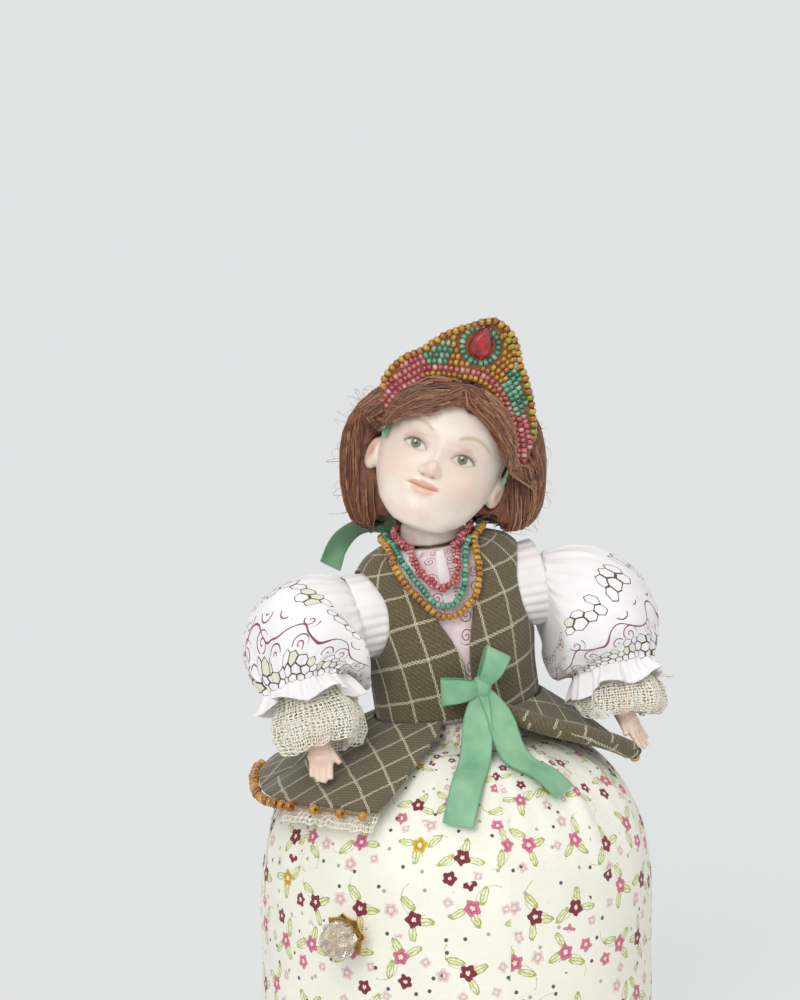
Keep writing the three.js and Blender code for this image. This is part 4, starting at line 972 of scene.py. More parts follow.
# %% Beads
def glass_material(name, stops):
    made, tree, shader = new_material(name)
    chance = add(tree, "Attribute", attribute_name="chance").outputs["Fac"]
    colour = add(tree, "ValToRGB", chance, stops=stops)
    wire(tree, shader, Base_Color=colour, Roughness=0.1, IOR=1.5, Transmission_Weight=0.4)
    wire(tree, shader, Coat_Weight=0.7, Coat_Roughness=0.05)
    flaw = add(tree, "TexNoise", Vector=millimetres(tree), Scale=1.2, Detail=2)
    wire(tree, shader, Normal=add(tree, "Bump", Strength=0.2, Distance=0.00015, Height=flaw))
    return made


PINK = [(0, "C4455A"), (0.3, "DC6E74"), (0.5, "E98F8E"), (0.62, "F6C4BC")]
GREEN = [(0, "1F7F66"), (0.25, "43A888"), (0.45, "7CC3A0"), (0.62, "B4DCC0")]
AMBER = [(0, "B06A10"), (0.3, "D08E1A"), (0.6, "E8B83C"), (0.7, "D8C43A"), (1, "9C9A26")]
pink_glass = glass_material("silver lined pink glass", PINK)
green_glass = glass_material("lustred green glass", GREEN)
amber_glass = glass_material("amber glass", AMBER)

bpy.ops.object.select_all(action="DESELECT")
bpy.ops.mesh.primitive_torus_add(
    major_segments=9, minor_segments=6, major_radius=0.62, minor_radius=0.44
)
bead = bpy.context.object
bead_points = np.array([p.co for p in bead.data.vertices])
bead_points[:, 2] *= 1.65
bead_faces = np.array([f.vertices for f in bead.data.polygons])
bpy.data.objects.remove(bead)


def bead_row(name, centres, along, radius, chances=None):
    """One mesh of beads at the centres, their holes along the thread."""
    count = len(centres)
    along = unit(np.asarray(along, float) + seeded.normal(0, 0.12, (count, 3)))
    other = unit(np.cross(along, seeded.normal(0, 1, (count, 3))))
    third = np.cross(along, other)
    size = radius * seeded.uniform(0.93, 1.06, count)
    frame_of = np.stack([other, third, along], axis=1) * size[:, None, None]
    shift = seeded.normal(0, 0.06 * radius, (count, 3))
    places = np.einsum("pk,nkj->npj", bead_points / 1.06, frame_of) + (centres + shift)[:, None]
    first_corner = np.arange(count) * len(bead_points)
    corners = (bead_faces[None] + first_corner[:, None, None]).reshape(-1, 4)
    made = mesh_of(name, places.reshape(-1, 3), corners.tolist())
    chances = seeded.random(count) * 0.62 if chances is None else chances
    paint(made, "chance", np.repeat(chances, len(bead_points)))
    return made


def thread(name, line, radius=0.25, closed=False):
    """The thread through a row, as a fine tube. It takes the colour of the beads."""
    data = bpy.data.curves.new(name, "CURVE")
    data.dimensions, data.bevel_depth, data.bevel_resolution = "3D", radius * MM, 1
    spline = data.splines.new("POLY")
    spline.points.add(len(line) - 1)
    spline.points.foreach_set("co", np.column_stack([line * MM, np.ones(len(line))]).ravel())
    spline.use_cyclic_u = closed
    select_only(placed(name, data))
    bpy.ops.object.convert(target="MESH")
    return bpy.context.object


def direction_along(centres, closed=False):
    if closed:
        return unit(np.roll(centres, -1, 0) - np.roll(centres, 1, 0))
    return unit(np.gradient(centres, axis=0))


# %% [markdown]
# ## Necklaces
# Three necklaces hang one in the other: a double pink one, a green one and an amber one. Each
# goes round the neck and down over the vest in a narrow loop. The line is laid on the surface of
# the clothes, so the beads rest on what carries them.

# %% Necklaces
THROAT_RINGS = BODY_RINGS + [[11.2, 10, 55.5], [9.8, 9.8, 59], [9.8, 9.8, 64]]
throat_at = rows(THROAT_RINGS)


def throat(u, v):
    half_wide, half_deep, z = np.moveaxis(throat_at(v), -1, 0)
    return xyz(half_wide * np.sin(TURN * u), 1.0 * v - half_deep * np.cos(TURN * u), z)


def neck_string(places, radius):
    """A string's line, through places given as a turn in degrees and a level of the throat."""
    once_round = np.vstack([places, np.add(places[0], [360, 0])])
    turn, level = (through(once_round * [1 / 360, 1])(np.arange(240) / 240)).T
    on_vest = lifted(throat, VEST_OUT + 0.4 + radius)(turn, level)
    on_neck = lifted(throat, 0.4 + radius)(turn, level)
    rise = smoothstep(level, 0.72, 0.86)[:, None]
    return leaning(on_vest + (on_neck - on_vest) * rise)


def necklace(name, node, lines, radius, pitch, material):
    made = []
    for line in lines:
        centres = even(through(line, closed=True), pitch, closed=True)
        made.append(bead_row(name, centres, direction_along(centres, True), radius))
        made.append(thread(name + "_thread", centres, closed=True))
    finish(joined(made), material, "skirt_and_body", node)


def twisted_pair(line, apart, pitch):
    """Two strands that wind round one line, each half its width away."""
    centres = even(through(line, closed=True), 1, closed=True)
    along = direction_along(centres, True)
    up = unit(np.cross(along, unit(centres - centres.mean(axis=0))))
    out = np.cross(along, up)
    turns = round(len(centres) / pitch)
    angle = (np.arange(len(centres)) / len(centres) * TURN * turns)[:, None]
    offset = apart * (np.cos(angle) * up + 0.55 * np.sin(angle) * out)
    return [centres + offset, centres - offset]


PINK_STRING = [
    [-100, 0.835], [-75, 0.81], [-55, 0.75], [-31.5, 0.598], [-18.8, 0.474], [-8, 0.418], [0, 0.444],
    [5, 0.534], [12, 0.7], [22, 0.76], [35, 0.795], [60, 0.82], [100, 0.84], [180, 0.84],
]
GREEN_STRING = [
    [-150, 0.755], [-100, 0.745], [-78, 0.71], [-53.5, 0.628], [-35.8, 0.55], [-22.8, 0.444],
    [-13.5, 0.363], [-5, 0.353], [3.8, 0.4], [9.2, 0.485], [14, 0.555], [22, 0.605], [40, 0.68],
    [70, 0.73], [120, 0.745], [180, 0.765],
]
AMBER_STRING = [
    [-150, 0.655], [-100, 0.66], [-76, 0.645], [-50, 0.585], [-35.5, 0.49], [-24.8, 0.396],
    [-14, 0.33], [-4.2, 0.323], [8, 0.355], [14, 0.41], [18.5, 0.48], [24, 0.56], [36, 0.63],
    [60, 0.655], [110, 0.665], [150, 0.655], [180, 0.65],
]
pink_pair = twisted_pair(neck_string(PINK_STRING, 1.45), 0.8, 9)
necklace("pink_necklace", "necklace_pink", pink_pair, 0.95, 1.4, pink_glass)
green_line = neck_string(GREEN_STRING, 1.0)
necklace("green_necklace", "necklace_green", [green_line], 1.15, 1.55, green_glass)
amber_line = neck_string(AMBER_STRING, 1.25)
necklace("amber_necklace", "necklace_amber", [amber_line], 1.35, 1.85, amber_glass)

# %% Beads along the peplum's hem
def hem_row(name, node, turns):
    turns = np.radians(np.array(turns))
    out = xyz(np.sin(turns), -np.cos(turns), 0 * turns)
    centres = peplum(turns, np.ones(len(turns))) + out * 2.05 + [0, 0, -0.4]
    made = bead_row(name, centres, direction_along(centres), 1.75)
    made = joined([made, thread(name + "_thread", centres, 0.3)])
    finish(made, amber_glass, "skirt_and_body", node)


LEFT_HEM = list(np.arange(-124, -66, 3.6)) + [-56.5, -47.5, -40]
hem_row("hem_beads_left_row", "hem_beads_left", LEFT_HEM)
hem_row("hem_beads_right_row", "hem_beads_right", [69, 72.6, 76.2, 79.8, 83.4])

# %% [markdown]
# ## Sleeves
# Each sleeve is a puff of white batiste: gathered into the armhole, full in the middle, drawn in
# above the wrist, and open below as a small frill. It is drawn as a tube round the arm's line.
# Fine gathers run out from both drawn-in ends, and a few broad dents make the puff look soft.
# Where it comes near the vest it is pressed flat, as the arm presses it.

# %% Tubes round a line
ARMS = {
    "left": (-1, [[-27.7, -1, 34], [-43, -5, 31.5], [-51, -12.5, 23], [-51.5, -16, 16]]),
    "right": (1, [[27.7, -1, 34], [41, -6, 24.5], [48.6, -12, 9], [49.2, -15.3, 1]]),
}
CUFFS = {
    "left": [[-51.2, -15, 19], [-50.6, -18.2, 9.5], [-51, -21.3, 0.8]],
    "right": [[49.2, -14.8, 3.4], [48.9, -17, -3.2], [48, -17.9, -8.6]],
}
SLEEVE_CLEAR = 30.7
ARM_BODY = {"left": "right_arm", "right": "left_arm"}  # the picture's left is her right
sleeve_radius = rows([[11.5], [16.5], [20.5], [23], [21.5], [16.5], [13.2], [16.0]])
cuff_radius = rows([[10.5], [12.5], [14.6], [14.8], [12.4]])


def tube(line, radius):
    """A tube round a line. radius(turn, v) is in millimetres."""
    at = through(line)

    def surface(u, v):
        along = unit(at(np.minimum(v + 0.01, 1)) - at(np.maximum(v - 0.01, 0)))
        side = unit(np.cross([0, 1, 0], along))
        over = np.cross(along, side)
        turn = TURN * u
        reach = radius(turn, v)[..., None]
        turn = turn[..., None]
        return at(v) + side * (reach * np.cos(turn)) + over * (reach * np.sin(turn))

    return surface


def sleeve_folds(turn, v, seed):
    """Gathers at both ends and broad dents between, in millimetres."""
    gathers = 0.55 * np.cos(21 * turn + 1.4 * np.sin(2 * turn + seed))
    gathers = gathers + 0.3 * np.cos(34 * turn + seed)
    top = gathers * (1 - smoothstep(v, 0.05, 0.4))
    drawn = 0.75 * np.cos(17 * turn + 1.7 * np.sin(3 * turn + seed)) + 0.35 * np.cos(31 * turn)
    drawn = drawn * smoothstep(v, 0.55, 0.84)
    puff = np.sin(math.pi * np.clip(v, 0, 1)) ** 0.7
    dents = 0.55 * np.sin(3 * turn + 7 * v + seed) + 0.4 * np.sin(5 * turn - 9 * v + 2 * seed)
    dents += 0.3 * np.sin(8 * turn + 13 * v - seed)
    frill = (1.9 * np.cos(7 * turn + 0.9 * np.sin(2 * turn) + seed)) * smoothstep(v, 0.8, 1.0)
    return top + drawn + dents * puff - 0.4 * puff + frill


# %% [markdown]
# ## Embroidered batiste
# The sleeves are batiste, a fine soft plain weave, with borders stitched in dark thread: two
# ragged bands of honeycomb in grey-brown back stitch, a few cells filled, and between them a
# scrolled vine in plum. The pattern is made in the cloth's own flat millimetres, round and
# along the sleeve, so it bends with the folds. Honeycomb is two square grids half a cell
# apart: the nearer one's cell is a hexagon.

# %% Embroidered batiste
HONEYCOMB = 3.2  # width of a cell
batiste, tree, shader = new_material("embroidered batiste")
place = add(tree, "UVMap", uv_map="UVMap").outputs[0]
drawn = shaken(tree, place, 0.11, 1, (5, 5, 0))

ROOT3 = 3**0.5
step = (1.0, ROOT3, 1.0)
grid = add(tree, "VectorMath", drawn, (1 / HONEYCOMB, 1 / HONEYCOMB, 0), operation="MULTIPLY")
nearest = []
for shift in ((0, 0, 0), (0.5, 0.5 * ROOT3, 0)):
    moved = add(tree, "VectorMath", grid, shift, operation="ADD")
    fraction = add(tree, "VectorMath", moved, step, operation="DIVIDE")
    rounded = add(tree, "VectorMath", fraction, (0.5, 0.5, 0.5), operation="ADD")
    rounded = add(tree, "VectorMath", rounded, operation="FLOOR")
    middle = add(tree, "VectorMath", rounded, step, operation="MULTIPLY")
    middle = add(tree, "VectorMath", middle, shift, operation="SUBTRACT")
    within = add(tree, "VectorMath", grid, middle, operation="SUBTRACT")
    nearest.append((middle, from_origin(tree, within)))
first_is_nearer = add(tree, "Math", nearest[0][1], nearest[1][1], operation="LESS_THAN")
middle = add(tree, "Mix", first_is_nearer, nearest[1][0], nearest[0][0], data_type="VECTOR")
within = add(tree, "VectorMath", grid, middle, operation="SUBTRACT")
within = add(tree, "VectorMath", within, operation="ABSOLUTE")
slanted = add(tree, "VectorMath", within, (0.5, 0.5 * ROOT3, 0), operation="DOT_PRODUCT")
slanted = slanted.outputs["Value"]
beside = add(tree, "SeparateXYZ", within).outputs[0]
from_middle = add(tree, "Math", slanted, beside, operation="MAXIMUM")
hex_line = add(tree, "Math", from_middle, 0.425, operation="GREATER_THAN")

cell_chance = add(tree, "TexWhiteNoise", middle, noise_dimensions="3D").outputs["Value"]
cell_level = add(tree, "SeparateXYZ", middle).outputs[1]
cell_level = add(tree, "Math", cell_level, HONEYCOMB, operation="MULTIPLY")
in_bands = 0.0
for low, high, chance_limit in ((16.0, 21.0, 0.78), (32.5, 39.5, 0.95)):
    centre, reach = (low + high) / 2, (high - low) / 2
    near = add(tree, "Math", cell_level, centre, reach, operation="COMPARE")
    kept = add(tree, "Math", cell_chance, chance_limit, operation="LESS_THAN")
    kept = add(tree, "Math", near, kept, operation="MULTIPLY")
    in_bands = add(tree, "Math", in_bands, kept, operation="MAXIMUM")
honeycomb = add(tree, "Math", hex_line, in_bands, operation="MULTIPLY")
filled = add(tree, "Math", cell_chance, 0.16, operation="LESS_THAN")
filled = add(tree, "Math", filled, in_bands, operation="MULTIPLY")

VINE_LEVEL = 27.5  # how far down the sleeve it runs, in millimetres
vine_level = add(tree, "SeparateXYZ", drawn)
wave = add(tree, "Math", vine_level.outputs[0], TURN / 15, operation="MULTIPLY")
wave = add(tree, "Math", wave, operation="SINE")
wave = add(tree, "Math", wave, 1.6, VINE_LEVEL, operation="MULTIPLY_ADD")
vine = add(tree, "Math", vine_level.outputs[1], wave, 0.24, operation="COMPARE")
spiral = scrolls(tree, place, 7.2, 0.5, 1.5, 0.17, 2.6)
scroll_band = add(tree, "Math", vine_level.outputs[1], VINE_LEVEL, 3.6, operation="COMPARE")
spiral = add(tree, "Math", spiral, scroll_band, operation="MULTIPLY")
vine = add(tree, "Math", vine, spiral, operation="MAXIMUM")

tone = add(tree, "TexNoise", Vector=place, Scale=0.08, Detail=2)
colour = add(tree, "ValToRGB", tone.outputs[0], stops=[(0.35, "EDE9EA"), (0.7, "F7F4F4")])
for mask, tint in ((filled, "E3DDCB"), (honeycomb, "4F473D"), (vine, "8A4A66")):
    colour = add(tree, "Mix", mask, colour, tint, data_type="RGBA")
wire(tree, shader, Base_Color=colour, Roughness=0.85, Sheen_Weight=0.2)
wire(tree, shader, Subsurface_Weight=0.08, Subsurface_Scale=0.0008)
wire(tree, shader, Subsurface_Radius=(1, 0.9, 0.8))
slub = add(tree, "TexNoise", Vector=place, Scale=1.6, Detail=3)
stitched = add(tree, "Math", honeycomb, vine, operation="MAXIMUM")
height = add(tree, "Math", stitched, 1.5, slub, operation="MULTIPLY_ADD")
wire(tree, shader, Normal=add(tree, "Bump", Strength=0.5, Distance=0.00015, Height=height))

# %% Sleeves
def sleeve_surface(side, line, seed):
    puffed = tube(line, lambda turn, v: sleeve_radius(v)[..., 0] + sleeve_folds(turn, v, seed))
    fall = unit(np.subtract(line[-1], line[-2]))

    def surface(u, v):
        places = puffed(u, v)
        scallop = 2.4 + 1.4 * np.cos(5 * TURN * u + seed)
        places = places + fall * (scallop * smoothstep(v, 0.86, 1.0))[..., None]
        from_axis = np.hypot(places[..., 1] - SHOULDER[1], places[..., 2] - SHOULDER[2])
        least = SLEEVE_CLEAR - 3.2 * (1 - smoothstep(from_axis, 11.9, 13.5))
        away = side * places[..., 0]
        soft = least + 1.2 * np.log1p(np.exp(np.clip((away - least) / 1.2, -30, 30)))
        places[..., 0] = side * np.maximum(np.where(away > least + 5, away, soft), least)
        return places

    return surface


for name, (side, line) in ARMS.items():
    surface = sleeve_surface(side, line, 1.3 + side)
    cloth = sheet_of(
        "sleeve_" + name + "_cloth", lambda u, v: leaning(surface(u, v)), 260, 120,
        lambda u, v: np.column_stack([(u - 0.5) * TURN * 19, 47 * v]),
    )
    merge_close(cloth, 0.01)
    solid_cloth(cloth, 0.5)
    finish(cloth, batiste, ARM_BODY[name], "sleeve_" + name)

# %% Sleeve heads
# Inside each armhole the blouse's own cloth stands out in gathers, up to where the sleeve begins
for name, (side, line) in ARMS.items():
    def head_of_sleeve(u, v):
        turn = TURN * u
        reach = 12.0 + 1.2 * v + 0.22 * np.cos(23 * turn + 1.2 * np.sin(3 * turn))
        y = SHOULDER[1] - reach * np.cos(side * turn)
        z = SHOULDER[2] + reach * np.sin(side * turn)
        return leaning(xyz(side * (15 + 16.3 * v), y, z))

    gathers = sheet_of("sleeve_head_" + name, head_of_sleeve, 160, 16)
    merge_close(gathers, 0.01)
    solid_cloth(gathers, 0.5)
    finish(gathers, plain_cotton, "skirt_and_body")

# %% Lace cuffs
for name, line in CUFFS.items():
    def cuff_reach(turn, v):
        wave = 1.9 * np.cos(6 * turn + 1.1 * np.sin(2 * turn)) + 0.8 * np.cos(13 * turn + 2)
        return cuff_radius(v)[..., 0] - 1.2 + wave * (0.35 + 0.65 * v)

    laid = tube(line, cuff_reach)
    fall = unit(np.subtract(line[-1], line[-2]))

    def cuff_surface(u, v):
        scallop = 0.9 * np.abs(np.sin(11 * math.pi * u)) + 1.1 * np.cos(2 * TURN * u + 1)
        return leaning(laid(u, v) + fall * (scallop * v**3)[..., None])

    edging = crochet("lace_cuff_" + name + "_net", cuff_surface, 96, 20, 0.5, tight=(7, 13))
    finish(edging, lace, ARM_BODY[name], "lace_cuff_" + name)

# %% Hands
for name in ("left", "right"):
    hand = remade("hand_" + name, "porcelain_hand_" + name, 0.4, smooth=7)
    modify(hand, "SUBSURF", levels=1, render_levels=1)
    finish(hand, pink_porcelain, ARM_BODY[name], "hand_" + name)

# %% [markdown]
# ## The head
# The head is porcelain: a broad forehead, full cheeks and a small chin, with ears that stand out.
# Its form comes from level rings, and ears and nose are joined on with a voxel remesh, so it is
# one skin. Then soft bumps and hollows are added, each a place on the face, a size and a height:
# sockets, eyeballs, brow, nose, cheeks, lips and chin.

# %% The head's form
HEAD_RINGS = [
    [2, 2, -12, -24.6], [8, 6.5, -10.5, -23.3], [13.8, 12, -6.5, -19], [18, 17, -2.5, -11],
    [19.8, 20, 0, -2], [20.6, 22, 1.5, 8], [18.6, 20.5, 2, 17], [12, 14, 2, 23], [2.5, 3, 2, 25.3],
]
head_at = rows(HEAD_RINGS)


def skull(u, v):
    half_wide, half_deep, y, z = np.moveaxis(head_at(v), -1, 0)
    closing = np.sqrt(np.clip(np.minimum(v, 1 - v) / 0.03, 0, 1))
    across, deep = half_wide * closing, half_deep * closing
    return xyz(across * np.sin(TURN * u), y - deep * np.cos(TURN * u), z)


def lump(name, middle, half):
    """An ellipsoid, in millimetres."""
    bpy.ops.object.select_all(action="DESELECT")
    bpy.ops.mesh.primitive_uv_sphere_add(segments=40, ring_count=24, radius=1)
    made = bpy.context.object
    made.name = made.data.name = name
    move_points(made, points_of(made) * MM * half + middle)
    return made


head = sheet_of("porcelain_head", skull, 160, 110)
merge_close(head, 0.05)
lumps = [lump("nose_tip", [-1.6, -20.5, -4.9], [2.6, 3.2, 2.4])]
for side in (-1, 1):
    lumps.append(lump("ear", [side * 20.2, 0.8, -6.3 + 0.7 * side], [2.8, 3.6, 5.4]))
    lumps.append(lump("nose_wing", [side * 2.2 - 1.7, -19.9, -5.6], [1.5, 2.1, 1.4]))
joined([head] + lumps)
modify(head, "REMESH", mode="VOXEL", voxel_size=0.36 * MM)
modify(head, "SMOOTH", factor=0.5, iterations=14)

# %% The face's relief
# x, z, half width, half height, height; a row with x over 0 is made on both sides
RELIEF = [
    [0, 3.5, 2.2, 3.4, 0.7], [0, -1.5, 1.5, 3.0, 1.1],  # bridge and back of the nose
    [7.6, 1.5, 4.4, 2.9, -1.15], [7.7, 1.2, 3.2, 1.7, 0.75],  # socket and eyeball
    [7.6, 3.1, 4.2, 0.6, 0.35], [7.6, 4.3, 4.4, 0.7, -0.25],  # lid and its fold
    [8.0, 8.0, 6.0, 1.8, 0.4], [10.2, -7.5, 5.0, 4.5, 0.9],  # brow and cheek
    [4.6, -10.8, 1.5, 1.8, -0.35], [0, -8.3, 0.9, 1.2, -0.35],  # mouth corner, lip groove
    [0, -9.8, 4.2, 0.9, 0.55], [0, -12.3, 3.1, 1.1, 0.7],  # upper and lower lip
    [0, -11.0, 4.2, 0.32, -0.55], [0, -14.6, 3.2, 1.0, -0.35],  # between and under them
    [0, -18.2, 4.2, 3.0, 1.0],  # chin
]
EAR_Y, EAR_Z = -1.2, -6.3  # the middle of the ear's hollow


def normals_of(piece):
    found = np.zeros(3 * len(piece.data.vertices))
    piece.data.vertex_normals.foreach_get("vector", found)
    return found.reshape(-1, 3)


def face_x(x, z):
    """The features sit a little to her right, more so towards the chin, as she looks aside."""
    return x + 0.9 + 1.2 * smoothstep(-z, -2, 11)


places = points_of(head)
x, y, z = places.T
front = smoothstep(-y, 4, 9)
height = 0 * x
aside = face_x(x, z)
for at_x, at_z, wide, high, rise in RELIEF:
    for side in (-1, 1) if at_x else (1,):
        height += rise * np.exp(-(((aside - side * at_x) / wide) ** 2) - ((z - at_z) / high) ** 2)
height = height * front
for side in (-1, 1):
    bowl = np.exp(-(((y - EAR_Y) / 1.9) ** 2) - ((z - EAR_Z) / 2.8) ** 2)
    height -= 1.2 * bowl * smoothstep(side * x, 20.0, 21.2)
move_points(head, places + normals_of(head) * height[:, None])
modify(head, "SMOOTH", factor=0.5, iterations=2)

# %% [markdown]
# ## The painted face
# The paint is thin and soft, as matt colours rubbed on fired clay: grey-green irises, dark brown
# upper lids with short lashes, thin brows, peach lips and a little red on cheeks, nose, chin and
# ears. Painted shade darkens the eye sockets and lid folds, the nostrils and the ears' hollows,
# and painted highlights lie on the irises and the lower lip. It is kept as one colour for each
# point of the skin, which is fine enough for a line of 0.4 mm, and the porcelain material
# multiplies its own tone by it.

# %% The painted face
CLAY = np.array(linear("EBE1D4")[:3])
places = points_of(head)
x, y, z = places.T
front = smoothstep(-y, 2, 5)
skin_x = x
x = face_x(x, z)
painted = np.ones((len(places), 3))


def oval(at_x, at_z, wide, high, soft=0.15, tilt=0.0):
    """1 inside an oval and 0 outside, with a soft edge."""
    dx, dz = x - at_x, z - at_z
    a = (dx * math.cos(tilt) + dz * math.sin(tilt)) / wide
    b = (dz * math.cos(tilt) - dx * math.sin(tilt)) / high
    return (1 - smoothstep(np.hypot(a, b), 1 - soft, 1 + soft)) * front


def stroke(points, width, soft=0.25):
    """1 on a brush stroke through points. Its width is a number or one at each point."""
    points = np.asarray(points, float)
    widths = np.full(len(points), width) if np.isscalar(width) else np.asarray(width, float)
    t = np.linspace(0, 1, 60)
    line = through(points)(t)
    reach = np.interp(t, np.linspace(0, 1, len(points)), widths) / 2
    beside, above = np.abs(np.array([x, z]) - line.mean(axis=0)[:, None])
    near = np.nonzero((beside < 12) & (above < 12) & (y < 0))[0]
    far = np.hypot(x[near, None] - line[:, 0], z[near, None] - line[:, 1]) - reach
    mask = 0 * x
    mask[near] = 1 - smoothstep(far.min(axis=1), -soft, soft)
    return mask


def brush(mask, code, strength=1.0):
    tint = np.array(linear(code)[:3]) / CLAY
    painted[:] = painted + (tint - painted) * (mask * strength)[:, None]


for side in (-1, 1):
    brush(oval(side * 11, -7.2, 6.5, 5.5, 0.9), "E9BCA8", 0.4)
    # Painted shade in each eye socket
    brush(oval(side * 7.6, 2.6, 6.3, 4.6, 0.8), "D8B9A4", 0.5)
    ear = smoothstep(side * skin_x, 19.6, 20.8) * (z < 1.5)
    brush(ear, "EEC7B2", 0.55)
    # Painted shade, darker in the hollow of the ear
    ear_hollow_shade = np.exp(-(((y - EAR_Y) / 1.7) ** 2) - ((z - EAR_Z) / 2.6) ** 2)
    brush(ear * ear_hollow_shade, "D6A28C", 0.6)
brush(oval(0, -5.2, 2.6, 2.2, 0.7), "E9BCA8", 0.4)
brush(oval(0, -18.5, 4.5, 3.5, 0.9), "EDC6B4", 0.35)

# Lines beside the eye at x over 0, as places on the face
SHADE = np.array([[4.2, 1.4], [6.2, 3.2], [8.4, 3.7], [11.6, 2.3]])
LID = np.array([[4.0, 0.3], [5.6, 2.0], [7.8, 2.8], [10.2, 2.1], [11.8, 0.8]])
LASHES = np.array([[8.8, 2.7], [9.8, 2.3], [10.8, 1.7], [11.5, 1.0]])
BELOW_EYE = np.array([[4.4, 0.1], [6.2, -0.5], [8.4, -0.65], [10.6, 0.0], [11.6, 0.7]])
BROW = np.array([[4.6, 7.2], [7.0, 8.4], [10.0, 8.7], [13.0, 7.6], [15.0, 6.0]])
for side in (-1, 1):
    # Painted shadows of the nostrils
    brush(oval(side * 1.55, -7.15, 0.75, 0.45, 0.6), "B98573", 0.7)
    white = oval(side * 7.75, 1.15, 3.7, 1.75, 0.16, tilt=-0.1 * side)
    brush(white, "DED5CA", 0.85)
    iris = (side * 7.8 - 0.2, 1.3)
    within = np.hypot(x - iris[0], z - iris[1])
    for inner, outer, tint in ((1.4, 1.8, "56523F"), (1.0, 1.45, "85806A"), (0.35, 0.85, "2A2420")):
        brush(white * (1 - smoothstep(within, inner, outer)), tint)
    # A painted highlight on each iris
    brush(oval(iris[0] - 0.45, iris[1] + 0.6, 0.34, 0.34, 0.5), "FFFFFF", 0.85)
    mirror = np.array([side, 1])
    brush(stroke(SHADE * mirror, [0.6, 1.5, 1.8, 0.8], 0.9), "A58B76", 0.5)
    brush(stroke(LID * mirror, [0.2, 0.45, 0.65, 0.8, 0.4], 0.3), "46352A", 0.88)
    for i, lash in enumerate(LASHES):
        tip = lash + [0.8, 0.8 - 0.18 * i]
        brush(stroke([lash * mirror, tip * mirror], [0.35, 0.1], 0.25), "4B3A2E", 0.55)
    brush(stroke(BELOW_EYE * mirror, 0.3, 0.4), "7E6A58", 0.5)
    brush(stroke(BROW * mirror, [0.7, 1.3, 1.1, 0.7, 0.3], 0.7), "A98E62", 0.6)
upper_lip = sum(oval(side * 1.8, -10.1, 3.2, 0.95, 0.25, tilt=-0.14 * side) for side in (-1, 1))
brush(np.clip(upper_lip, 0, 1), "D29A84", 0.85)
brush(oval(0, -11.9, 3.7, 1.35, 0.3), "E2B09A", 0.8)
# Painted highlight in the middle of the lower lip
brush(oval(0, -12.3, 2.0, 0.7, 0.8), "EFC4B2", 0.5)
mouth = [[-5.2, -10.7], [-2.8, -10.9], [0, -11.05], [2.8, -10.9], [5.2, -10.7]]
brush(stroke(mouth, [0.2, 0.4, 0.5, 0.4, 0.2], 0.25), "955548", 0.8)
paint(head, "paint", painted)
move_points(head, on_head(points_of(head)))

# %% Opening for the neck
NECK_PLACE, NECK_ROOM = np.array([-7.7, 1, 166]), 12
bpy.ops.object.select_all(action="DESELECT")
bpy.ops.mesh.primitive_cylinder_add(
    vertices=64, radius=NECK_ROOM * MM, depth=30 * MM, location=NECK_PLACE * MM
)
cut_away(head, bpy.context.object)
finish(head, painted_porcelain, "head_group", "head")

# %% [markdown]
# ## Hair
# The wig is auburn mohair, combed sideways out from under the headdress and falling in soft
# waves to a blunt end at the jaw. Under it is a dark base with the wig's whole form, so no gap
# shows skin; its dark colour is painted shade of the hair's depth under the locks. Over that lie
# locks: each starts on the base, runs down along it by small steps, and carries a bunch of fine
# strands that spread in the middle and draw together at the tip.

# %% The base of the wig
mohair, tree, shader = new_material("auburn mohair")
chance = add(tree, "Attribute", attribute_name="chance").outputs["Fac"]
reach = add(tree, "Attribute", attribute_name="reach").outputs["Fac"]
place = millimetres(tree)
fleck = add(tree, "TexNoise", Vector=place, Scale=0.5, Detail=3)
mixed = add(tree, "Math", fleck.outputs[0], 0.5, chance, operation="MULTIPLY_ADD")
mixed = add(tree, "Math", mixed, 0.2, operation="SUBTRACT")
stops = [(0.05, "4A2A1A"), (0.3, "774832"), (0.6, "9A6746"), (0.95, "C49B76")]
colour = add(tree, "ValToRGB", mixed, stops=stops)
at_tip = add(tree, "Math", reach, 0.35, operation="MULTIPLY")
colour = add(tree, "Mix", at_tip, colour, "A06A48", data_type="RGBA")
wire(tree, shader, Base_Color=colour, Roughness=0.42, Sheen_Weight=0.3, Sheen_Roughness=0.4)
wire(tree, shader, Anisotropic=0.6, Specular_IOR_Level=0.35)
fine = add(tree, "TexNoise", Vector=place, Scale=2.5, Detail=3)
wire(tree, shader, Normal=add(tree, "Bump", Strength=0.4, Distance=0.0002, Height=fine))

wig = remade("wig", "mohair_wig_base", 0.7, smooth=6)
wig_places = points_of(wig)
# Low chances make the base dark: painted shade of the hair's depth
paint(wig, "chance", 0.12 + 0.18 * seeded.random(len(wig_places)))
paint(wig, "reach", np.zeros(len(wig_places)))
wig_tree = BVHTree.FromPolygons(wig_places.tolist(), [tuple(f.vertices) for f in wig.data.polygons])
finish(wig, mohair, "head_group", "wig")

# %% Locks
WIG_LOW = wig_places[:, 2].min()
LOCKS, FLYAWAYS = 720, 330


def in_head(point):
    return (point - HEAD_AT) @ HEAD_TURN


def face_half(z):
    """How far from its middle the face is kept clear of hair. It narrows towards the chin."""
    return 19.6 + 0.5 * min(0, z + 8)


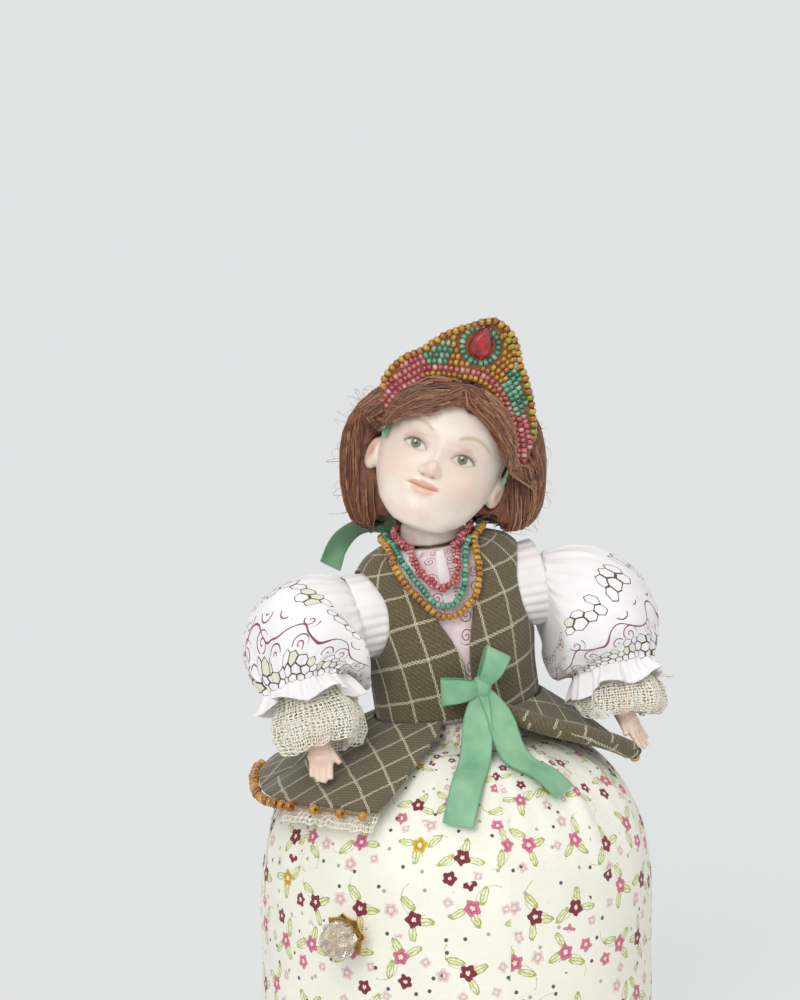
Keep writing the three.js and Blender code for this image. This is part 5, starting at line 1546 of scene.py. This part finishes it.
def lock_line(start, steps, step, lift):
    """A line of points that runs down the base from a start, then hangs free past its edge."""
    here = np.array(start)
    line, direction = [], None
    for k in range(steps):
        found, normal, _, far = wig_tree.find_nearest(here)
        if found is None:
            break
        found, normal = np.array(found), np.array(normal)
        x, y, z = in_head(here)
        by_ear = abs(x) < 23.6 and abs(z - EAR_Z) < 6.2 and y < 5
        by_face = z < 4 and y < 1.5 and abs(x) < face_half(z)
        if by_face or by_ear:
            break  # clear of the face and ears
        if far < 1.5:
            here = found + normal * lift * (1 if k else 0.3)
        line.append(here)
        down = np.array([0, 0, -1.0])
        if z > 6 and y < 2:  # above the face it is combed to the sides
            down = HEAD_TURN @ np.array([np.clip(x / 5, -1, 1), 0.25, -0.55])
        flow = unit(down - normal * (down @ normal) if far < 1.5 else down)
        direction = flow if direction is None else unit(0.55 * direction + 0.45 * flow)
        here = here + direction * step
        if here[2] < WIG_LOW - 2 - 2 * lift:
            break
    return np.array(line)


def strand_bundle(name, lines, radius, chances):
    """One mesh of fine tubes, three-sided, thinner towards their ends."""
    places, faces, odds, reaches, base = [], [], [], [], 0
    for line, size, chance_here in zip(lines, radius, chances):
        count = len(line)
        along = unit(np.gradient(line, axis=0))
        side = unit(np.cross(along, [0.3, 1, 0.2]))
        over = np.cross(along, side)
        t = np.linspace(0, 1, count)
        reach = size * np.sqrt(np.clip(1.05 - t**3, 0.03, 1))[:, None]
        row = np.arange(count - 1)
        for k in range(3):
            angle = TURN * k / 3
            places.append(line + reach * (side * math.cos(angle) + over * math.sin(angle)))
            a, b = base + k * count + row, base + (k + 1) % 3 * count + row
            faces.append(np.column_stack([a, b, b + 1, a + 1]))
        odds.append(np.full(3 * count, chance_here))
        reaches.append(np.tile(t, 3))
        base += 3 * count
    made = mesh_of(name, np.vstack(places), np.vstack(faces).tolist())
    paint(made, "chance", np.concatenate(odds))
    paint(made, "reach", np.concatenate(reaches))
    return made


def smoothed(line, count):
    for _ in range(2):
        line = np.vstack([line[:1], (line[:-2] + 2 * line[1:-1] + line[2:]) / 4, line[-1:]])
    return through(line)(np.linspace(0, 1, count))


roots = wig_places[seeded.permutation(len(wig_places))[:9000]]
strands, sizes, odds = [], [], []
locks = 0
for start in roots:
    if locks >= LOCKS:
        break
    x, y, z = in_head(start)
    _, normal, _, _ = wig_tree.find_nearest(start)
    front_face = normal @ Vector(HEAD_TURN[:, 1]) < -0.5 and abs(x) > face_half(z)
    if normal @ Vector(start - HEAD_AT) < 2 and not front_face:
        continue  # inside of the wig
    if seeded.random() < (0.75 if y > 4 else 0 if front_face or z > 8 else 0.3):
        continue  # most locks are where they show, in front
    line = lock_line(start, 60, 1.1, 0.25 + 0.5 * seeded.random())
    if len(line) < 6:
        continue
    locks += 1
    line = smoothed(line, 13)
    count = len(line)
    t = np.linspace(0, 1, count)
    length = np.linalg.norm(np.diff(line, axis=0), axis=1).sum()
    along = unit(np.gradient(line, axis=0))
    away = unit(line - (HEAD_AT + [0, 4, 0]))
    side = unit(np.cross(along, away))
    phase, lock_chance = seeded.random() * TURN, seeded.random()
    wave = 0.9 * np.sin(TURN * t * length / (9 + 5 * lock_chance) + phase) * np.clip(3 * t, 0, 1)
    for _ in range(8):
        a, b = seeded.normal(0, 1, 2)
        spread = (0.35 + 0.75 * np.sin(math.pi * np.clip(t * 1.1, 0, 1)) ** 0.8)[:, None]
        own = 0.25 * np.sin(TURN * t * length / (6 + 4 * seeded.random()) + seeded.random() * TURN)
        end = max(6, round(count * (0.84 + 0.16 * seeded.random())))
        path = line + side * (a * 0.9 * spread + (wave + own)[:, None])
        path = path + away * (np.abs(b) * 0.35 * spread + 0.1)
        strands.append(path[:end])
        sizes.append(0.14 + 0.08 * seeded.random())
        odds.append(np.clip(0.25 + 0.4 * lock_chance + 0.3 * seeded.normal(0, 0.6), 0.03, 0.97))
for k in range(3):
    name = "mohair_locks_%d" % (k + 1)
    bundle = strand_bundle(name, strands[k::3], sizes[k::3], odds[k::3])
    finish(bundle, mohair, "head_group")

# %% Flyaway hairs
strands = []
for start in roots[-2400:]:
    _, normal, _, _ = wig_tree.find_nearest(start)
    normal = np.array(normal)
    if normal @ (start - HEAD_AT) < 6 or len(strands) >= FLYAWAYS:
        continue
    t = np.linspace(0, 1, 12)[:, None]
    sideways = unit(np.cross(normal, [0.2, 0.4, 1]))
    curl = seeded.normal(0, 1.6, 2)
    rise = 2.6 * normal * np.sin(math.pi * 0.75 * t) * seeded.uniform(0.3, 1.4)
    run = sideways * (9 * t * seeded.choice([-1, 1]) + curl[0] * np.sin(4 * t))
    run = run + [0, 0, -1.0] * (3 * t + curl[1] * t * t)
    left = start[0] < HEAD_AT[0] - 14
    strands.append(start + (1.9 if left else 1) * rise + run * seeded.uniform(0.5, 1.1))
odds = seeded.uniform(0.5, 0.9, len(strands))
bundle = strand_bundle("flyaway_hairs", strands, [0.06] * len(strands), odds)
finish(bundle, mohair, "head_group")

# %% [markdown]
# ## The headdress
# The headdress is a tall curved band of stiffened felt, covered in front with rows of glass
# beads: pink at both ends, then green, and amber round the middle, where a red glass drop is
# set in a green ring. The rim is a row of larger amber beads. Rows follow the band's lower edge,
# and each bead is laid at its own spacing along the row.

# %% The band
CROWN_LOWER = [
    [-19.9, 9], [-18.7, 13.4], [-15.5, 17.9], [-12.3, 21.7], [-7.3, 23.6], [-2.6, 24.7], [1.9, 25.4],
    [6.2, 24.6], [10.2, 22.2], [13.7, 18.0], [16.6, 13.2], [18.6, 9.2], [19.5, 5.9],
]
CROWN_UPPER = [
    [-23.9, 9], [-25.4, 17], [-22.4, 24.9], [-17.2, 30.1], [-12.1, 37.1], [-6.8, 41.6], [0.9, 46.6],
    [8.6, 43.4], [12.9, 37], [19.2, 28.8], [23.2, 21.4], [25.3, 15.4], [25.6, 7.8],
]
FRONT_Y, SLANT, CURVE = -13.3, 0.05, 0.009  # the band in plan: y = -13.3 + 0.05 x + 0.009 x x
RIM_FROM, RIM_TO, RIM_BAND = 0.09, 0.87, 2.7
SEED_R, AMBER_R, SEED_PITCH, AMBER_PITCH = 1.1, 1.35, 1.66, 2.1
ROW = 1.95  # from one row of beads to the next
RING_AT, RING_R = (-0.6, 36.9), 5.6
crown_low, crown_high = through(CROWN_LOWER), through(CROWN_UPPER)


def facing(x):
    return unit(xyz(SLANT + 2 * CURVE * x, -1, 0))


def crown_point(places, away):
    x, z = np.asarray(places, float).T
    return xyz(x, FRONT_Y + SLANT * x + CURVE * x * x, z) + facing(x) * away


def crown_band(u, v):
    low, high = crown_low(u), crown_high(u)
    return on_head(crown_point(low + (high - low) * v[..., None], 0))


stops = [(0.3, "6B3E20"), (0.7, "8A5530")]
felt, tree, shader, place, _ = toned("stiffened wool felt", 0.5, 4, stops)
wire(tree, shader, Roughness=0.95, Sheen_Weight=0.4, Sheen_Roughness=0.6)
fibre = add(tree, "TexNoise", Vector=place, Scale=3, Detail=4, Roughness=0.7)
wire(tree, shader, Normal=add(tree, "Bump", Strength=0.6, Distance=0.0002, Height=fibre))

band = sheet_of("crown_band", crown_band, 90, 14)
modify(band, "SOLIDIFY", thickness=1.5 * MM, offset=1, use_even_offset=False)
round_edges(band, 0.3)
finish(band, felt, "head_group", "crown_backing", sharp=40)

# %% Rows of beads
def crown_row(inset, start, stop, pitch):
    """A row a way in from the lower edge, or with a minus sign from the upper edge: x, z and u."""
    u = np.linspace(start, stop, 90)
    low, high = crown_low(u), crown_high(u)
    height = np.linalg.norm(high - low, axis=1)
    at = np.full(90, inset) if inset > 0 else height + inset
    rim = np.where((u > RIM_FROM - 0.02) & (u < RIM_TO + 0.02), RIM_BAND, SEED_R)
    kept = (at <= height - rim) | (inset < 0)
    points = np.column_stack([low + (high - low) / height[:, None] * at[:, None], u])[kept]
    return even(through(points), pitch) if len(points) > 3 else np.zeros((0, 3))


def clear_of_ring(row, room):
    return np.hypot(row[:, 0] - RING_AT[0], row[:, 1] - RING_AT[1]) > RING_R + room


def in_runs(row, kept):
    """The beads of a row that are kept, in runs without a gap."""
    row = row[kept]
    steps = np.linalg.norm(np.diff(row[:, :2], axis=0), axis=1)
    gaps = np.nonzero(steps > 1.6 * AMBER_PITCH)[0] + 1
    return [run for run in np.split(row, gaps) if len(run)]


def crown_beads(name, nodes, flat_rows, radius, material, greenish=None):
    made = []
    for row in flat_rows:
        centres = on_head(crown_point(row[:, :2], 0.3 + radius))
        chances = seeded.random(len(row)) * 0.62
        if greenish is not None:
            olive = seeded.random(len(row)) < greenish(row)
            chances = np.where(olive, 0.68 + 0.3 * seeded.random(len(row)), chances)
        if len(row) == 1:
            made.append(bead_row(name, centres, HEAD_TURN[:, :1].T, radius, chances))
            continue
        made.append(bead_row(name, centres, direction_along(centres), radius, chances))
        made.append(thread(name + "_thread", centres, 0.2))
    finish(joined(made), material, "head_group", *nodes)


def to_the_right(row):
    """The amber beads turn olive and yellow up the right side of the rim."""
    return np.clip((row[:, 0] - 1) / 16, 0, 0.5)


CROWN_FIELDS = {
    "amber": ([], amber_glass),
    "low_amber": (["crown_amber_lower_row"], amber_glass),
    "pink_line": (["crown_pink_row"], pink_glass),
    "pink_left": (["crown_pink_beads_left"], pink_glass),
    "green_left": (["crown_green_beads_left"], green_glass),
    "green_right": (["crown_green_beads_right"], green_glass),
    "pink_right": (["crown_pink_beads_right"], pink_glass),
}
# The fields from left to right in the lowest row, the next one and all others, and where along
# the band each one stops. Only the others have to keep clear of the ring round the drop.
PATTERNS = [
    [("pink_left", 0.25), ("low_amber", 2)],
    [("pink_left", 0.25), ("pink_line", 0.79), ("pink_right", 2)],
    [
        ("pink_left", 0.25), ("green_left", 0.36), ("amber", 0.65), ("green_right", 0.79),
        ("pink_right", 2),
    ],
]
groups = {name: [] for name in CROWN_FIELDS}
for k in range(16):
    row = crown_row(1.1 + k * ROW, 0.0, 1.0, SEED_PITCH)
    start = -1
    for name, stop in PATTERNS[min(k, 2)] if len(row) else []:
        kept = (row[:, 2] >= start) & (row[:, 2] < stop) & (clear_of_ring(row, 1.55) | (k < 2))
        groups[name] += in_runs(row, kept)
        start = stop

rim = crown_row(-1.0, RIM_FROM - 0.03, RIM_TO + 0.04, AMBER_PITCH)
second_rim = crown_row(-2.9, 0.5, 0.66, AMBER_PITCH)
rims = [rim] + in_runs(second_rim, clear_of_ring(second_rim, 2.2))
crown_beads("crown_rim", ["crown_amber_beads"], rims, AMBER_R, amber_glass, to_the_right)
for name, (nodes, material) in CROWN_FIELDS.items():
    crown_beads("crown_" + name, nodes, groups[name], SEED_R, material)
RING_START, RING_STOP = 120, 458  # in degrees; the ring is open above
count = round(math.radians(RING_STOP - RING_START) * RING_R / SEED_PITCH) + 1
angles = np.radians(np.linspace(RING_START, RING_STOP, count))
ring = np.column_stack([np.cos(angles), np.sin(angles)]) * RING_R + RING_AT
crown_beads("crown_ring", ["crown_green_ring"], [ring], SEED_R, green_glass)

# %% [markdown]
# The drop is cut red glass with a flat back, pointed above. Two rings of facets lead up to a
# long table. A dark foil behind the real one makes it look deep. Here its colour wanders at
# random between dark and bright red.

# %% The red drop
red_glass, tree, shader = new_material("cut red glass")
tone = add(tree, "TexNoise", Vector=millimetres(tree), Scale=0.35, Detail=1)
stops = [(0.35, "8A0713"), (0.55, "C40F1C"), (0.75, "E5362E")]
wire(tree, shader, Base_Color=add(tree, "ValToRGB", tone.outputs[0], stops=stops))
wire(tree, shader, Roughness=0.05, IOR=1.55, Transmission_Weight=0.3, Coat_Weight=0.6)
haze = add(tree, "TexNoise", Vector=millimetres(tree), Scale=1.5, Detail=1)
wire(tree, shader, Normal=add(tree, "Bump", Strength=0.1, Distance=0.00005, Height=haze))

DROP_AT, DROP_WIDE, DROP_HIGH = (-0.5, 38.3), 7.4, 11.6
drop_half = [
    [0, -0.5], [0.26, -0.47], [0.44, -0.36], [0.5, -0.18], [0.44, 0.04], [0.3, 0.25], [0.13, 0.42],
    [0, 0.5],
]
drop_outline = np.array(drop_half + [[-x, z] for x, z in drop_half[-2:0:-1]])
levels = [(0.92, 0.0), (1.0, 1.4), (0.8, 3.1), (0.5, 4.2)]  # a ring's size and its height
rings = []
for size, away in levels:
    flat = drop_outline * [DROP_WIDE * size, DROP_HIGH * size] + DROP_AT
    rings.append(on_head(crown_point(flat, 0.3 + away)))
count = len(drop_outline)
drop_faces = [tuple(reversed(range(count)))]
for k in range(len(levels) - 1):
    for i in range(count):
        a, b = k * count + i, k * count + (i + 1) % count
        drop_faces.append((a, b, b + count, a + count))
drop_faces.append(tuple(range(3 * count, 4 * count)))
drop = mesh_of("crown_drop", np.vstack(rings), drop_faces)
select_only(drop)
bpy.ops.object.mode_set(mode="EDIT")
bpy.ops.mesh.select_all(action="SELECT")
bpy.ops.mesh.normals_make_consistent(inside=False)
bpy.ops.object.mode_set(mode="OBJECT")
round_edges(drop, 0.12, segments=1, angle=12)
finish(drop, red_glass, "head_group", "crown_teardrop", sharp=8)

# %% [markdown]
# ## Ribbons
# All ribbons are green satin, 0.4 mm thick, with a woven edge. The bow's is up to 10 mm wide,
# the one behind the neck 8 mm and the ties of the headdress 2.6 mm. A ribbon is a sheet along a
# line, and at each point of the line an arrow says which way its width goes.
# The bow has a knot, two loops and two tails that lie on the skirt.

# %% Green satin
satin, tree, shader = new_material("green satin ribbon")
weft = add(tree, "UVMap", uv_map="UVMap").outputs[0]
tone = add(tree, "TexNoise", Vector=millimetres(tree), Scale=0.12, Detail=3)
colour = add(tree, "ValToRGB", tone.outputs[0], stops=[(0.3, "72A983"), (0.7, "92C29A")])
from_edge = add(tree, "SeparateXYZ", weft).outputs[0]
from_edge = add(tree, "Math", from_edge, 0.5, operation="SUBTRACT")
from_edge = add(tree, "Math", from_edge, operation="ABSOLUTE")
selvedge = add(tree, "Math", from_edge, 0.455, operation="GREATER_THAN")
colour = add(tree, "Mix", selvedge, colour, "6AA07A", data_type="RGBA")
wire(tree, shader, Base_Color=colour, Roughness=0.36, Sheen_Weight=0.35, Sheen_Roughness=0.35)
wire(tree, shader, Anisotropic=0.7, Specular_IOR_Level=0.45)
threads = add(tree, "TexWave", Vector=weft, bands_direction="Y", Scale=18, Distortion=0.4)
height = add(tree, "Math", selvedge, 2.0, threads, operation="MULTIPLY_ADD")
wire(tree, shader, Normal=add(tree, "Bump", Strength=0.35, Distance=0.0001, Height=height))

# %% Ribbons along a line
def ribbon(name, line, widths, width, cupped, count=70):
    """A ribbon along a line of points. cupped curves it across, and width may vary along it."""
    at, across = through(line), through(np.asarray(widths, float))

    def laid(u, v):
        along = unit(at(np.minimum(v + 0.01, 1)) - at(np.maximum(v - 0.01, 0)))
        side = across(v)
        side = unit(side - along * np.sum(side * along, axis=-1, keepdims=True))
        face = np.cross(side, along)
        wide = width(v) if callable(width) else width
        s = 2 * u - 1
        ripple = cupped * (1 - s * s) + 0.12 * np.sin(9 * v + 3 * s)
        ripple = ripple + 0.1 * np.sin(17 * v * (1 + 0.2 * s))
        return at(v) + side * (s * wide / 2)[..., None] + face * ripple[..., None]

    made = sheet_of(name, laid, 14, count, lambda u, v: np.column_stack([u, v * count / 10]))
    modify(made, "SOLIDIFY", thickness=0.4 * MM, offset=0, use_even_offset=False)
    round_edges(made, 0.12)
    return made


def dome_point(turn, radius, away):
    """A point off the skirt's domed top."""
    t = math.acos((radius - NECK_R) / (CUSHION_R - NECK_R))
    normal = unit(np.array([CUSHION_RISE * math.cos(t), (CUSHION_R - NECK_R) * math.sin(t)]))
    r, turn = radius + away * normal[0], math.radians(turn)
    z = SHOULDER_Z + CUSHION_RISE * math.sin(t) + away * normal[1]
    return [r * math.sin(turn), -r * math.cos(turn), z]


KNOT_AT = np.array([0.4, -26.2, 128.6])


def bow_loop(name, angle, long):
    outline = np.array([
        [-1, -1, 0], [-0.5 * long, -3.4, 0], [-long, -1.2, 0],
        [-long, 0.6, 0], [-0.5 * long, 0.6, 0], [-1, 1, 0],
    ])
    turned = np.array(Matrix.Rotation(math.radians(angle), 3, "Y"))
    widths = np.tile(turned @ [0, 0, 1], (6, 1))
    line = outline @ turned.T + KNOT_AT
    return ribbon(name, line, widths, lambda v: 4 + 5 * np.sin(math.pi * v), 0.3, 60)


def bow_tail(name, start, places):
    line = np.array([KNOT_AT, start] + [dome_point(turn, radius, 1.1) for turn, radius in places])
    widths = unit(np.column_stack([-line[:, 1], line[:, 0], 0 * line[:, 0]]))
    return ribbon(name, line, widths, lambda v: 4 + 6 * np.minimum(1, 3 * v), 0.35, 90)


knot = lump("bow_knot", KNOT_AT, [3.3, 2.5, 3.7])
places = points_of(knot) - KNOT_AT
crease = 0.25 * np.sin(6 * np.arctan2(places[:, 2], places[:, 0]) + 1)
crease = crease * np.exp(-(places[:, 1] / 2.5) ** 2)
move_points(knot, KNOT_AT + places * (1 + 0.12 * crease[:, None]))
parts = [
    bow_loop("bow_loop_left", -4, 12.5),
    bow_loop("bow_loop_up", 116, 12),
    bow_tail("bow_tail_left", [-1.6, -30.2, 121], [(-7, 37), (-12, 47), (-15.3, 56)]),
    bow_tail("bow_tail_right", [4.6, -30, 121], [(14, 37), (21, 45), (25, 51)]),
]
finish(knot, satin, "skirt_and_body", "waist_bow")
for part in parts:
    finish(part, satin, "skirt_and_body")

# %% Ribbon behind the neck and ties of the headdress
tie_line = [
    [-10, 17.2, 171.8], [-18, 19.7, 173.4], [-27, 19.5, 173], [-35.5, 15.5, 168], [-38.5, 13.5, 162],
]
tie_widths = [[0, 0.3, -1], [0.2, 0.6, -0.8], [0.5, 0.6, -0.5], [0.9, 0.4, 0], [0.9, 0.3, 0.2]]
back_ribbon = ribbon("neck_ribbon_satin", tie_line, tie_widths, 8, 0.5)
finish(back_ribbon, satin, "skirt_and_body", "neck_ribbon")
LEFT_TIE = [[-20.9, -9.6, 7.6], [-19.9, -9.3, 3.5], [-18.9, -10.4, -0.5]]
RIGHT_TIE = [[22, -6.6, 5], [21.6, -6.2, 1.5], [21.3, -5.8, -3]]
for name, line, across in (
    ("crown_tie_left", LEFT_TIE, [0.6, -0.8, 0]), ("crown_tie_right", RIGHT_TIE, [-0.25, 1, 0])
):
    widths = np.tile(across, (3, 1)) @ HEAD_TURN.T
    tie = ribbon(name + "_satin", on_head(np.array(line, float)), widths, 2.6, 0.1, 24)
    finish(tie, satin, "head_group", name)

# %% [markdown]
# ## The pin
# The pin in the skirt has a cut crystal on a gilt flower cap. Its parts have their right forms
# in the model, so they keep them and get their materials: steel, gilt and clear glass with a
# painted reflection, brown in its middle and pale towards its rim.

# %% The pin's materials
def give(node, material):
    """A part that keeps its solid from the model gets its material."""
    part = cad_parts[node]
    part.data.materials.clear()
    part.data.materials.append(material)
    print(node, "keeps its solid")


stops = [(0.3, "B9BABC"), (0.7, "D4D5D6")]
steel, tree, shader, _, wear = toned("nickel plated steel", 1.5, 3, stops)
rough = add(tree, "MapRange", wear.outputs[0], 0.3, 0.7, 0.18, 0.34)
wire(tree, shader, Metallic=1.0, Roughness=rough)

stops = [(0.3, "C9A45E"), (0.55, "E0C27E"), (0.75, "EFDCA6")]
gilt, tree, shader, place, wear = toned("gilt brass", 0.9, 4, stops)
rough = add(tree, "MapRange", wear.outputs[0], 0.3, 0.7, 0.2, 0.4)
wire(tree, shader, Metallic=1.0, Roughness=rough)
dents = add(tree, "TexNoise", Vector=place, Scale=0.7, Detail=2)
wire(tree, shader, Normal=add(tree, "Bump", Strength=0.5, Distance=0.0003, Height=dents))

PIN_TURN, PIN_Z = math.radians(-46), 58  # where the needle leaves the skirt
PIN_FOOT = np.array([CUSHION_R * math.sin(PIN_TURN), -CUSHION_R * math.cos(PIN_TURN), PIN_Z])
PIN_OUT = np.array([-0.70362, -0.679478, -0.207912])
crystal, tree, shader = new_material("clear cut crystal")
place = millimetres(tree)
middle = tuple(PIN_FOOT + PIN_OUT * 10.3)  # of the crystal
far = from_origin(tree, add(tree, "VectorMath", place, middle, operation="SUBTRACT"))
# Painted reflection: dark brown near the crystal's middle, pale towards its rim, its edge wavering
flash = add(tree, "TexNoise", Vector=place, Scale=0.35, Detail=1)
painted_reflection = add(tree, "Math", flash.outputs[0], 5.0, far, operation="MULTIPLY_ADD")
painted_reflection = add(tree, "MapRange", painted_reflection, 5.0, 9.5, 0, 1)
colour = add(tree, "ValToRGB", painted_reflection, stops=[(0.1, "6E5238"), (0.5, "C8B59A"), (0.9, "F6F4EE")])
wire(tree, shader, Base_Color=colour, Roughness=0.03, IOR=1.6)
wire(tree, shader, Transmission_Weight=0.75, Coat_Weight=0.5)

give("pin_needle", steel)
give("pin_cap", gilt)
give("pin_crystal", crystal)

# %% [markdown]
# ## Pieces inside and underneath
# The stuffing, the cloth body and the cloth arms are hidden by the clothes. They are soft, so
# rounded copies stand for them. The base under the skirt is a card disc covered with felt, and
# a wooden dowel runs up through the stuffing.

# %% Inside and underneath
stops = [(0.3, "DCCFB6"), (0.7, "EBE1CC")]
calico, tree, shader, place, _ = toned("unbleached calico", 0.3, 3, stops)
wire(tree, shader, Roughness=0.9, Sheen_Weight=0.2)
weave = ridges(tree, place, 0.6, "Z", Distortion=1)
wire(tree, shader, Normal=add(tree, "Bump", Strength=0.4, Distance=0.0001, Height=weave))

stops = [(0.3, "E6E4DE"), (0.7, "F7F6F2")]
filling, tree, shader, _, fluff = toned("polyester filling", 0.35, 5, stops)
wire(tree, fluff, Roughness=0.7)
wire(tree, shader, Roughness=1.0, Sheen_Weight=0.5)
wire(tree, shader, Normal=add(tree, "Bump", Strength=0.8, Distance=0.0008, Height=fluff))

stops = [(0.3, "A39B8C"), (0.7, "B9B2A3")]
card, tree, shader, _, pulp = toned("grey board", 0.8, 5, stops)
relief = add(tree, "Bump", Strength=0.3, Distance=0.0001, Height=pulp)
wire(tree, shader, Roughness=0.9, Normal=relief)

wood, tree, shader = new_material("birch dowel")
place = add(tree, "VectorMath", millimetres(tree), (1.2, 1.2, 0.08), operation="MULTIPLY")
grain = add(tree, "TexNoise", Vector=place)  # drawn out along the rod
colour = add(tree, "ValToRGB", grain.outputs[0], stops=[(0.3, "C8A878"), (0.7, "DFC69A")])
relief = add(tree, "Bump", Strength=0.3, Distance=0.0001, Height=grain)
wire(tree, shader, Base_Color=colour, Roughness=0.6, Normal=relief)

for node, material, body_name, voxel in (
    ("torso", calico, "skirt_and_body", 1.6),
    ("arm_left", calico, "right_arm", 1.0),
    ("arm_right", calico, "left_arm", 1.0),
    ("cushion_stuffing", filling, "skirt_and_body", 2.2),
    ("base_felt", felt, "skirt_and_body", 0.45),
):
    soft = remade(node, node + "_soft", voxel, smooth=3)
    finish(soft, material, body_name, node)
give("base_board", card)
give("support_dowel", wood)

# %% [markdown]
# ## Cloth sizes
# Each sewn or gathered cloth was cut flat first, and a gathered sleeve is cut much wider than
# the arm. Here each piece is given its flat width and length in millimetres and, where it isn't
# a rectangle, its flat area. These were set to suit the area of the finished mesh and the
# piece's girth and length at the photo's scale. For lace, the area of a mesh is the surface of
# its yarn, so there they say little. Ribbons and edges less than 10 mm wide are left out.

SHEETS = [
    ("peplum_left_panel", 62, 45, 2110, "laid", "skirt_printed_cotton"),
    ("peplum_right_panel", 52, 42, 1290, "laid", "skirt_printed_cotton"),
    ("peplum_back_panel", 134, 61, 5270, "laid", "skirt_printed_cotton"),
    ("peplum_right_roll", 14.5, 60, None, "folded", "peplum_right_panel"),
    ("peplum_hem_lace", 34, 12.5, None, "hung", "peplum_left_panel"),
    ("vest_left", 38, 58, 1430, "stretched", "blouse_cloth"),
    ("vest_right", 40, 58, 1620, "stretched", "blouse_cloth"),
    ("vest_back_panel", 72, 60, 3680, "stretched", "blouse_cloth"),
    ("blouse_cloth", 140, 60, None, "stretched", "torso"),
    ("sleeve_left_cloth", 126, 48, None, "gathered", "lace_cuff_left_net"),
    ("sleeve_right_cloth", 126, 48, None, "gathered", "lace_cuff_right_net"),
    ("sleeve_head_left", 83, 16.5, None, "gathered", "blouse_cloth"),
    ("sleeve_head_right", 83, 16.5, None, "gathered", "blouse_cloth"),
    ("lace_cuff_left_net", 100, 20, None, "gathered", "sleeve_left_cloth"),
    ("lace_cuff_right_net", 96, 18, None, "gathered", "sleeve_right_cloth"),
    ("bow_tail_left", 10, 52, None, "hung", "bow_knot"),
    ("bow_tail_right", 10, 44, None, "hung", "bow_knot"),
    ("base_felt_soft", 108, 108, 9160, "laid", "base_board"),
]
for name, across, along, area, held, below in SHEETS:
    flat = (across * MM, along * MM)
    cut = None if area is None else area * MM**2
print(len(SHEETS), "sheets of cloth declared")
